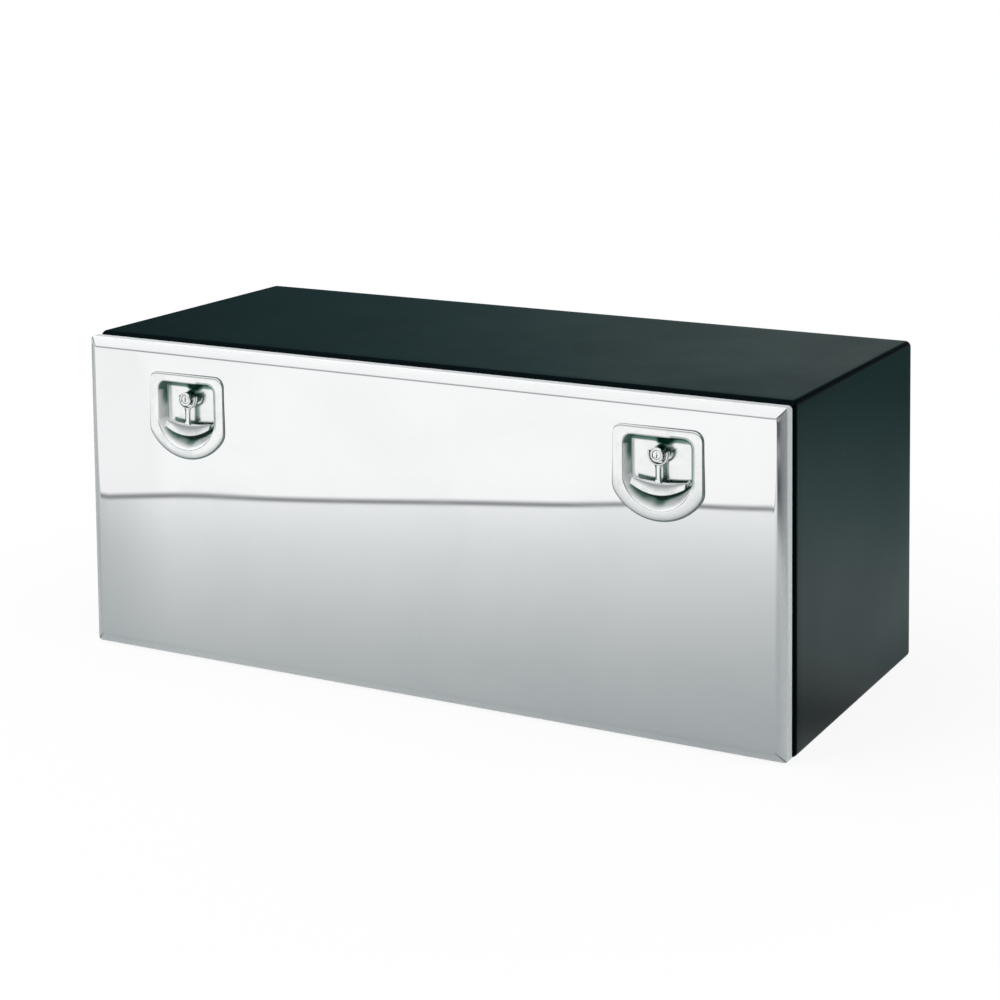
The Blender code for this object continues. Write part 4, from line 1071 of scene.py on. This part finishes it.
for name, lock in LOCKS.items():
    rings = []
    for share, grow, y in LIP_SECTION:
        outline = blend_outlines(d_outline(*FLANGE), d_outline(*APERTURE), share)
        moved = [squeezed(a, b, grow) for a, b in outline]
        rings.append([(lock.x + a, y, lock.z + b) for a, b in moved])
    gasket = piece("dish_gasket_" + name, *strips([*rings, rings[0]]), "door", gasket_rubber)
    tidy_mesh(gasket)
    attach(gasket, "latch_gasket_" + name, slot="latch_gasket_" + name)

# %% [markdown]
# ## Hubs and key plugs
# The hub is turned, with a chamfer, a shallow ring groove and a step where it meets the dish. A
# Screw modifier could turn its profile, but rings of points need no baking. The plug sits in the
# hub, and its keyway is a real slot, cut with a Boolean, because a painted slot has no depth.


# %% Turning and cutting helpers
def spun(name, profile, radii, centre, body, material, steps=64):
    """A profile of (radius, y), its corners rounded, turned about a lock's axis."""
    line = fillet(profile, radii, 3)
    turns = [2 * math.pi * k / steps for k in range(steps)]
    rings = [
        [(centre.x + radius * math.cos(t), y, centre.z + radius * math.sin(t)) for t in turns]
        for radius, y in (*line, line[0])
    ]
    made = piece(name, *strips(rings), body, material)
    tidy_mesh(made)
    return made


def block(name, low, high):
    """A box used only as a cutter."""
    xs, ys, zs = zip(low, high)
    faces = [(0, 1, 3, 2), (4, 6, 7, 5), (0, 4, 5, 1), (2, 3, 7, 6), (0, 2, 6, 4), (1, 5, 7, 3)]
    return solid_form(name, [(x, y, z) for x in xs for y in ys for z in zs], faces)


def carve(made, *tools):
    """Cuts tools from a piece and removes them."""
    for tool in tools:
        cut = made.modifiers.new("cut", "BOOLEAN")
        cut.operation, cut.solver, cut.object = "DIFFERENCE", "EXACT", tool
    bake_modifiers(made)
    for tool in tools:
        bpy.data.objects.remove(tool)


def darken(made, rule):
    """Gives each point its crease value from a rule of its place and direction."""
    mark_points(made, "crease", [rule(*v.co, v.normal) for v in made.data.vertices])


# %% Profiles of hub and plug
HUB_Y, HUB_BACK = -0.2680, -0.2272
HUB_PROFILE = [
    (0.0067, HUB_BACK), (0.0067, -0.2676), (0.0072, HUB_Y), (0.0084, HUB_Y), (0.0087, -0.2676),
    (0.0090, HUB_Y), (0.0096, HUB_Y), (0.0105, -0.2671), (0.0105, -0.2540), (0.0118, -0.2524),
    (0.0118, -0.2498), (0.0088, -0.2498), (0.0088, HUB_BACK),
]
HUB_RADII = [radius / 10000 for radius in (1, 1, 1, 1, 1, 2, 4, 6, 3, 2, 1)]
PLUG_Y, PLUG_BACK, ON_AXIS = -0.2674, -0.2574, 0.00001
PLUG_PROFILE = [
    (ON_AXIS, PLUG_Y), (0.0058, PLUG_Y), (0.0063, -0.2669), (0.0063, PLUG_BACK),
    (ON_AXIS, PLUG_BACK),
]
PLUG_RADII = (0.0002, 0.0002, 0.0002)
print("hub profile:", len(HUB_PROFILE), "corners, plug profile:", len(PLUG_PROFILE))

# %% Hubs and key plugs
for name, lock in LOCKS.items():
    hub = spun("hub_" + name, HUB_PROFILE, HUB_RADII, lock, "door", plated_casting)
    # Painted shade on the part of the hub inside the recess
    darken(hub, lambda x, y, z, normal: 0.75 * (y > -0.2668))
    sharp_at(hub, 40)
    attach(hub, "lock_hub_" + name, slot="lock_hub_" + name)

    body, (x, _, z) = "lock_" + name, lock
    plug = spun("key_plug_" + name, PLUG_PROFILE, PLUG_RADII, lock, body, plated_casting)
    slot = block("keyway", (x - 0.0009, -0.2700, z - 0.0042), (x + 0.0009, -0.2610, z + 0.0042))
    ward = block("ward", (x - 0.0009, -0.2700, z - 0.0012), (x + 0.0021, -0.2620, z + 0.0006))
    carve(plug, slot, ward)
    sharp_at(plug, 30)
    attach(plug, "lock_plug_" + name, slot="lock_plug_" + name)

# %% [markdown]
# ## Folding handles
# A handle is one casting: a half ring with two ears that pivot on the hub, a stem, and a
# boat-shaped crossbar. Its front slopes from top to bottom, so its lower rim stands proud and
# catches the light. Cylinders and boxes would meet in hard corners. So the parts are lofted
# roughly, a voxel remesh welds them into one skin, and a little smoothing rounds each joint.

# %% Lofting helpers
HANDLE_Y = -0.2612


def loft_along(name, sections):
    """A closed tube over sections of equal length, with flat ends."""
    verts, faces = strips(sections)
    count = len(sections[0])
    faces.append(tuple(reversed(range(count))))
    faces.append(tuple(len(verts) - count + k for k in range(count)))
    made = solid_form(name, verts, faces)
    tidy_mesh(made)
    return made


def superellipse(half_a, half_b, power, steps=20):
    """Points of a rounded rectangle round (0, 0)."""
    made = []
    for k in range(steps):
        c, s = math.cos(2 * math.pi * k / steps), math.sin(2 * math.pi * k / steps)
        a, b = abs(c) ** (2 / power), abs(s) ** (2 / power)
        made.append((half_a * math.copysign(a, c), half_b * math.copysign(b, s)))
    return made


# %% Crossbar
BAR_HALF, BAR_BACK, BAR_BROW, BAR_RIM = 0.0420, -0.2580, -0.2618, -0.2672


def bar_section(bend):
    """(y, z) round the bar; bend goes from 0 at its middle to 1 at its ends."""
    top, low, rim = -0.0365 - 0.0030 * (1 - bend), -0.0570 + 0.0125 * bend, BAR_RIM + 0.0006 * bend
    line = [
        (BAR_BROW + (rim - BAR_BROW) * (t / 8) ** 1.5, top + (low - top) * t / 8)
        for t in range(9)
    ]
    line += [(rim + 0.0012, low - 0.0006), (rim + 0.0028, low + 0.0002)]
    return line + [(BAR_BACK, low + 0.0022), (BAR_BACK, top - 0.0010), (BAR_BACK - 0.0008, top)]


def crossbar(lock):
    """The boat shape: straight back, sloping hollowed front and a proud lower rim."""
    sections = []
    for k in range(41):
        share = math.sin(math.pi / 2 * (k / 20 - 1))
        x = lock.x + BAR_HALF * share
        sections.append([(x, y, lock.z + z) for y, z in bar_section(share * share)])
    return loft_along("crossbar", sections)


print("crossbar:", round(2000 * BAR_HALF), "mm wide")

# %% Half ring and stem
RING_RADIUS, EAR_TOP, EAR_FOOT = 0.0145, 0.0045, 0.0022


def ring_bar(lock):
    """The half ring: one ear, round below the hub, the other ear."""
    path = [(RING_RADIUS, EAR_TOP), (RING_RADIUS, EAR_FOOT), *arc(0, 0, RING_RADIUS, 0, -180, 36)]
    path += [(-RING_RADIUS, EAR_FOOT), (-RING_RADIUS, EAR_TOP)]
    sections = []
    for k, (x, z) in enumerate(path):
        before, after = path[max(0, k - 1)], path[min(len(path) - 1, k + 1)]
        along = Vector((after[0] - before[0], after[1] - before[1])).normalized()
        sections.append([
            (lock.x + x - along.y * a, HANDLE_Y + b, lock.z + z + along.x * a)
            for a, b in superellipse(0.00175, 0.0033, 3.4)
        ])
    return loft_along("ring_bar", sections)


def stem(lock):
    """The stem, flared where it leaves the ring and where it meets the crossbar."""
    sections = []
    for k in range(15):
        z = -0.0140 - 0.0265 * k / 14
        half = 0.0043 + 0.0022 * (abs(k / 14 - 0.5) * 2) ** 4
        section = superellipse(half, 0.0031, 2.6)
        sections.append([(lock.x + a, HANDLE_Y + b, lock.z + z) for a, b in section])
    return loft_along("stem", sections)


# %% Casting helper
VOXEL = 0.00045


def merge_castings(name, parts, body, material):
    """Joins rough parts into one smooth casting."""
    bm = bmesh.new()
    for part in parts:
        bm.from_mesh(part.data)
        bpy.data.objects.remove(part)
    mesh = bpy.data.meshes.new(name)
    bm.to_mesh(mesh)
    bm.free()
    made = put_in_scene(name, mesh)
    made["body"] = body
    weld = made.modifiers.new("weld", "REMESH")
    weld.mode, weld.voxel_size, weld.use_smooth_shade = "VOXEL", VOXEL, True
    ease = made.modifiers.new("ease", "SMOOTH")
    ease.factor, ease.iterations = 0.5, 5
    bake_modifiers(made)
    made.data.materials.clear()
    made.data.materials.append(material)
    return made


# %% Handles
for name, lock in LOCKS.items():
    parts = [crossbar(lock), ring_bar(lock), stem(lock)]
    handle = merge_castings("fold_handle_" + name, parts, "handle_" + name, plated_casting)

    def shaded(x, y, z, normal, lock=lock):
        """Dark inside the half ring, on the stem's left, below the bar and at the back."""
        a, b = x - lock.x, z - lock.z
        inner = math.hypot(a, b) < 0.0136 and normal.y > -0.9
        flank = BAR_TOP < b < -0.015 and a < -0.0014
        below = b < BAR_TOP and normal.z < -0.55
        return 0.85 * (inner or flank or below) or 0.6 * (y > -0.2585)

    darken(handle, shaded)
    attach(handle, "handle_" + name, slot="handle_" + name)

# %% [markdown]
# ## Cabinet body
# Top, sides and bottom are one folded sheet, with a flange turned in at the front and at the
# rear. Rings run from the front flange's inner edge, round the bend, along the body and round
# the rear bend. Each bend is a true quarter circle with many steps, since a powder-coated bend
# shows as a soft band, darkened by painted shade from its bend value. A bevelled cube would do
# for the outside, but not for the flanges. The sill at the bottom of the opening stands a little
# higher than the other three.

# %% Rings of the body
BODY_LOW, BODY_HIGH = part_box("body_wrap")
FRONT_Y, REAR_Y = BODY_LOW.y, BODY_HIGH.y
BEND, BODY_SHEET, FLANGE_CORNER = 0.0090, 0.0020, 0.0005


def body_ring(inset, y, corner, sill=0.0):
    """One ring of the body; sill lifts the bottom edge of the opening."""
    edges = (BODY_HIGH.x, BODY_LOW.z + sill, BODY_HIGH.z)
    return rounded_ring(edges, (10, 60, 24), inset, y, corner)


def bend_rings(y, way):
    """Quarter circle from a flange at y outwards; way is 1 at the front and -1 at the rear."""
    rings = []
    for k in range(11):
        t = math.radians(90 * k / 10)
        inset = BEND * (1 - math.sin(t))
        place = y + way * BEND * (1 - math.cos(t))
        rings.append(body_ring(inset, place, max(BEND - inset, FLANGE_CORNER)))
    return rings


rings = [
    body_ring(0.030, FRONT_Y, FLANGE_CORNER, 0.012), body_ring(0.020, FRONT_Y, FLANGE_CORNER, 0.005)
]
rings += bend_rings(FRONT_Y, 1)
run = REAR_Y - FRONT_Y - 2 * BEND
rings += [body_ring(0, FRONT_Y + BEND + run * k / 24, BEND) for k in range(1, 24)]
rings += reversed(bend_rings(REAR_Y, -1))
rings.append(body_ring(0.026, REAR_Y, FLANGE_CORNER))
print("body:", len(rings), "rings of", len(rings[0]), "points")


# %% Body sheet with its folds marked
def fold_share(x, y, z):
    """1 on a fold, 0 away from it: where two of the outer faces are both near."""
    near = [
        max(0, 1 - away / BEND)
        for away in (BODY_HIGH.x - abs(x), BODY_HIGH.z - z, y - FRONT_Y, REAR_Y - y)
    ]
    side, top, first, last = near
    return min(1, 2.2 * max(side * top, max(side, top) * max(first, last)))


body = piece("body_sheet", *strips(rings), "cabinet", powder_black)
# The bend value paints shade on the folds of the coat
mark_points(body, "bend", [fold_share(*v.co) for v in body.data.vertices])
tidy_mesh(body, 2e-6)
if sum(p.normal.z for p in body.data.polygons if p.center.z > BODY_HIGH.z - 0.0001) < 0:
    body.data.flip_normals()
thicken(body, BODY_SHEET, 50)
attach(body, "body_wrap", slot="body_wrap")

# %% [markdown]
# ## Rivets and welds
# Fasteners repeat, so one Geometry Nodes tree places them all. It takes bare points that carry
# the way each head should face, puts one small lathed shape on each, gives it a random turn
# about its own axis from a fixed seed, and hands back one plain mesh for each body. Copies
# placed by a loop would do as well, but a tree keeps the random turns and sizes as inputs.

# %% Scatter tree: its inputs
scatter_tree = bpy.data.node_groups.new("heads_on_points", "GeometryNodeTree")
for title, kind in (
    ("Points", "Geometry"), ("Shape", "Object"), ("Finish", "Material"),
    ("Size Spread", "Float"), ("Seed", "Int"),
):
    scatter_tree.interface.new_socket(title, in_out="INPUT", socket_type="NodeSocket" + kind)
scatter_tree.interface.new_socket("Heads", in_out="OUTPUT", socket_type="NodeSocketGeometry")
SOCKET = {item.name: item.identifier for item in scatter_tree.interface.items_tree}
given = add(scatter_tree, "NodeGroupInput").outputs
print("scatter inputs:", [title for title in SOCKET if title != "Heads"])

# %% Scatter tree: turn and size of each head
aim = add(
    scatter_tree, "GeometryNodeInputNamedAttribute", data_type="FLOAT_VECTOR", Name="aim"
)
facing_out = add(scatter_tree, "FunctionNodeAlignRotationToVector", axis="Z")
spin = add(scatter_tree, "FunctionNodeRandomValue", data_type="FLOAT")
spin.inputs[2].default_value, spin.inputs[3].default_value = 0, math.tau
about = add(scatter_tree, "FunctionNodeAxisAngleToRotation", Axis=(0, 0, 1))
turned = add(scatter_tree, "FunctionNodeRotateRotation", rotation_space="LOCAL")
sizes = add(scatter_tree, "FunctionNodeRandomValue", data_type="FLOAT")
smallest = maths(scatter_tree, "SUBTRACT", 1, given["Size Spread"])
largest = maths(scatter_tree, "ADD", 1, given["Size Spread"])
wire(
    scatter_tree,
    aim.outputs["Attribute"], facing_out.inputs["Vector"],
    given["Seed"], spin.inputs[8],
    spin.outputs[1], about.inputs["Angle"],
    about.outputs[0], turned.inputs["Rotate By"],
    facing_out.outputs[0], turned.inputs["Rotation"],
    given["Seed"], sizes.inputs[8],
    smallest, sizes.inputs[2],
    largest, sizes.inputs[3],
)

# %% Scatter tree: the heads as plain mesh
stand = add(scatter_tree, "GeometryNodeObjectInfo", transform_space="ORIGINAL")
placed = add(scatter_tree, "GeometryNodeInstanceOnPoints")
plain_mesh = add(scatter_tree, "GeometryNodeRealizeInstances")
finish = add(scatter_tree, "GeometryNodeSetMaterial")
wire(
    scatter_tree,
    given["Shape"], stand.inputs["Object"],
    given["Points"], placed.inputs["Points"],
    stand.outputs["Geometry"], placed.inputs["Instance"],
    turned.outputs[0], placed.inputs["Rotation"],
    sizes.outputs[1], placed.inputs["Scale"],
    placed.outputs[0], plain_mesh.inputs[0],
    plain_mesh.outputs[0], finish.inputs["Geometry"],
    given["Finish"], finish.inputs["Material"],
    finish.outputs[0], add(scatter_tree, "NodeGroupOutput").inputs[0],
)
print("scatter tree:", len(scatter_tree.nodes), "nodes")


# %% Scattering helpers
def lathed(name, profile, steps=16):
    """A small shape about +Z from (radius, height) points, the last one near the axis."""
    turns = [math.tau * k / steps for k in range(steps)]
    rings = [[(r * math.cos(t), r * math.sin(t), h) for t in turns] for r, h in profile]
    verts, faces = strips(rings)
    faces.append(list(range(len(verts) - steps, len(verts))))
    made = solid_form(name, verts, faces)
    made.data.shade_smooth()
    return made


def scatter(name, shape, spots, body, material, spread_of_size=0.03, seed=7):
    """One plain mesh with a shape on each (place, aim) spot."""
    made = solid_form(name, [place for place, _ in spots], [])
    made["body"] = body
    aims = made.data.attributes.new("aim", "FLOAT_VECTOR", "POINT")
    aims.data.foreach_set("vector", [part for _, aim in spots for part in aim])
    modifier = made.modifiers.new("scatter", "NODES")
    modifier.node_group = scatter_tree
    modifier[SOCKET["Shape"]] = shape
    modifier[SOCKET["Finish"]] = material
    modifier[SOCKET["Size Spread"]] = spread_of_size
    modifier[SOCKET["Seed"]] = seed
    bake_modifiers(made)
    tidy_mesh(made)
    sharp_at(made, 50)
    attach(made)


def row(first, last, count):
    """Numbers at equal steps from first to last."""
    return [first + (last - first) * k / (count - 1) for k in range(count)]


def both_sides(xs, y, zs, aim):
    """Spots at a depth y on the left and on the right."""
    return [((side * x, y, z), aim) for side in (-1, 1) for x in xs for z in zs]


# %% Head shapes
domed = lathed("domed_head", [
    (0.0032, 0), (0.0032, 0.0003), (0.0029, 0.0007), (0.0021, 0.0010), (0.0009, 0.00115)
])
pop = lathed("pop_head", [
    (0.0038, 0), (0.0038, 0.0004), (0.0030, 0.0009), (0.0016, 0.0011), (0.0013, 0.0009)
], 18)
weld_dimple = lathed("weld_dimple", [
    (0.0040, 0), (0.0036, 0.00025), (0.0029, 0.00022), (0.0024, 0.00006)
], 18)
weld_scale = lathed("weld_scale", [
    (0.0019, -0.0002), (0.0017, 0.0006), (0.0011, 0.0011), (0.0004, 0.0013)
], 10)
AHEAD, BEHIND, DOWN = (0, -1, 0), (0, 1, 0), (0, 0, -1)
print("four head shapes")

# %% Rivets of the hinge
LEAF_FRONT, LEAF_REAR, LEAF_Z = -0.23555, -0.23895, 0.0160
spots = [((x, LEAF_FRONT, LEAF_Z), AHEAD) for x in row(-0.555, 0.555, 16)]
scatter("rivets_body_leaf", domed, spots, "cabinet", zinc_plate)
spots = [((x, LEAF_REAR, LEAF_Z), BEHIND) for x in row(-0.518, 0.518, 15)]
scatter("rivets_door_leaf", domed, spots, "door", zinc_plate)

# %% Rivets of the door
PANEL_REAR, LIP_REAR, LIP_TOP, LIP_SIDE, BRACKET_REAR = -0.2420, -0.2405, 0.4635, 0.5660, -0.2392
spots = both_sides((0.1620, 0.2180), PANEL_REAR, row(0.062, 0.436, 6), BEHIND)
scatter("rivets_door_panel", pop, spots, "door", zinc_plate, seed=11)
spots = both_sides((LIP_SIDE,), LIP_REAR, row(0.060, 0.420, 5), BEHIND)
spots += [((x, LIP_REAR, LIP_TOP), BEHIND) for x in row(-LIP_SIDE, LIP_SIDE, 13)]
scatter("rivets_door_lip", domed, spots, "door", hinge_stainless, seed=3)
spots = both_sides((0.5320,), BRACKET_REAR, (0.1955, 0.2155), BEHIND)
scatter("rivets_stay_brackets", pop, spots, "door", zinc_plate, seed=5)

# %% [markdown]
# The top channels and the strikers are spot-welded, which leaves round dimples. Each stay's stud
# is welded on all round by hand, so its bead is a ring of overlapping scales.

# %% Welds of the cabinet
CHANNEL_Z, STRIKER_REAR, STRIKER_Z = 0.4957, -0.2287, 0.4820
spots = [
    ((side * x, y, CHANNEL_Z), DOWN)
    for side in (-1, 1) for x in (0.3660, 0.4340) for y in row(-0.155, 0.155, 7)
]
scatter("spot_welds_channels", weld_dimple, spots, "cabinet", powder_black, 0.08, seed=2)
spots = both_sides((0.3840, 0.4280), STRIKER_REAR, (STRIKER_Z,), BEHIND)
scatter("spot_welds_strikers", weld_dimple, spots, "cabinet", zinc_plate, 0.08, seed=4)

WALL_X, BEAD_RADIUS, BEADS = 0.5977, 0.0166, 46
_, stud_y, stud_z = [(low + high) / 2 for low, high in zip(*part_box("stay_stud_right"))]
spots = []
for side in (-1, 1):
    for k in range(BEADS):
        up, out = math.sin(math.tau * k / BEADS), math.cos(math.tau * k / BEADS)
        place = (side * WALL_X, stud_y + BEAD_RADIUS * out, stud_z + BEAD_RADIUS * up)
        spots.append((place, (-side * 0.8, 0.6 * out, 0.6 * up)))
scatter("weld_beads_studs", weld_scale, spots, "cabinet", powder_black, 0.10, seed=9)
for shape in (domed, pop, weld_dimple, weld_scale):
    bpy.data.objects.remove(shape)
print("the four head shapes are removed")

# %% [markdown]
# ## Back panel
# A sheet inside the rear flange, stiffened by three long pressed ribs with round shoulders. A
# plain inset gives sharp ribs, so here the sheet is a fine grid whose depth follows a smooth
# step. The grid is finest near the ribs' round ends.

# %% Back panel
PANEL_LOW, PANEL_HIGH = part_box("back_panel")
RIB_TALL, RIB_SLOPE, RIB_MARGIN, PANEL_SHEET = 0.040, 0.010, 0.090, 0.0015
rib_space = (PANEL_HIGH.z - PANEL_LOW.z - 3 * RIB_TALL) / 4
first_rib = PANEL_LOW.z + rib_space + RIB_TALL / 2
rib_middles = [first_rib + k * (rib_space + RIB_TALL) for k in range(3)]


def rib(x, z):
    """0 on the flat sheet, 1 on a rib, with a smooth step between."""
    straight = PANEL_HIGH.x - RIB_MARGIN - RIB_TALL / 2
    away = min(math.hypot(max(0, abs(x) - straight), z - middle) for middle in rib_middles)
    high = clamp((RIB_TALL / 2 - away) / RIB_SLOPE)
    return high * high * (3 - 2 * high)


end_cuts = np.linspace(0.80, 1, 34)
cuts = np.concatenate([-end_cuts[::-1], np.linspace(-0.77, 0.77, 30), end_cuts])
depth = PANEL_HIGH.y - PANEL_LOW.y - PANEL_SHEET
rows = []
for z in np.linspace(PANEL_LOW.z, PANEL_HIGH.z, 170):
    rows.append([(x, PANEL_HIGH.y - depth * rib(x, z), z) for x in PANEL_HIGH.x * cuts])
panel = piece("back_sheet", *strips(rows, closed=False), "cabinet", powder_black)
tidy_mesh(panel, towards=(0, 1, 0))
thicken(panel, PANEL_SHEET, 50)
attach(panel, "back_panel", slot="back_panel")

# %% [markdown]
# ## Door seal
# The bulb seal on the opening's flange is an extruded rubber section: a flat foot with a thin
# lip on each side and a hollow-looking bulb that the door squeezes. A bevelled curve can't hold
# such a section, so it is swept round a path with large corner radii, because a bulb can't be
# bent sharply.

# %% Door seal
SEAL_LOW, SEAL_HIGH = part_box("door_seal")
SEAL_WIDE, SEAL_CORNER, BULB_HALF, BULB_STEPS = 0.0120, 0.0300, 0.0044, 16
foot, crown = SEAL_HIGH.y, SEAL_LOW.y
bulb_foot = foot - 0.0015
lip = [(0.0, foot), (0.0, foot - 0.0007), (0.0006, foot - 0.0012), (0.0016, foot - 0.0014)]
turns = [math.pi * k / BULB_STEPS for k in range(BULB_STEPS + 1)]
bulb = [
    (SEAL_WIDE / 2 - BULB_HALF * math.cos(t), bulb_foot - (bulb_foot - crown) * math.sin(t))
    for t in turns
]
section = lip + bulb + [(SEAL_WIDE - inset, y) for inset, y in reversed(lip)]
seal_edges = (SEAL_HIGH.x, SEAL_LOW.z, SEAL_HIGH.z)
rings = [
    rounded_ring(seal_edges, (12, 40, 16), inset, y, SEAL_CORNER - inset) for inset, y in section
]
seal = piece("seal_bulb", *strips([*rings, rings[0]]), "cabinet", seal_rubber)
tidy_mesh(seal)
sharp_at(seal, 55)
attach(seal, "door_seal", slot="door_seal")

# %% [markdown]
# ## Broken edges on the kept hardware
# No plated edge is a perfect line. The kept CAD pieces get a modifier pair: one joins the
# doubled corners, the other breaks each sharp edge by a few tenths of a millimetre. Light then
# catches the edges of nuts and plates. Modelling each edge would take long and look the same.

# %% Edge breaks
BREAKS = {
    0.00025: (
        "striker", "stay_arm", "stay_bracket", "stay_rivet", "stay_stud", "lock_cam",
        "cam_washer", "hub_nut",
    ),
    0.00040: ("cam_nut", "top_channel", "door_brace"),
    0.00015: ("door_inner_panel", "handle_pin"),
}
softened = []
for width, starts in BREAKS.items():
    for name, node in cad.items():
        if not name.startswith(starts):
            continue
        join = node.modifiers.new("join", "WELD")
        join.merge_threshold = 1e-6
        edge = node.modifiers.new("edge", "BEVEL")
        edge.width, edge.segments, edge.limit_method = width, 2, "ANGLE"
        edge.angle_limit, edge.use_clamp_overlap = math.radians(40), True
        edge.harden_normals = False
        softened.append(name)
print("edges broken on", len(softened), "nodes")
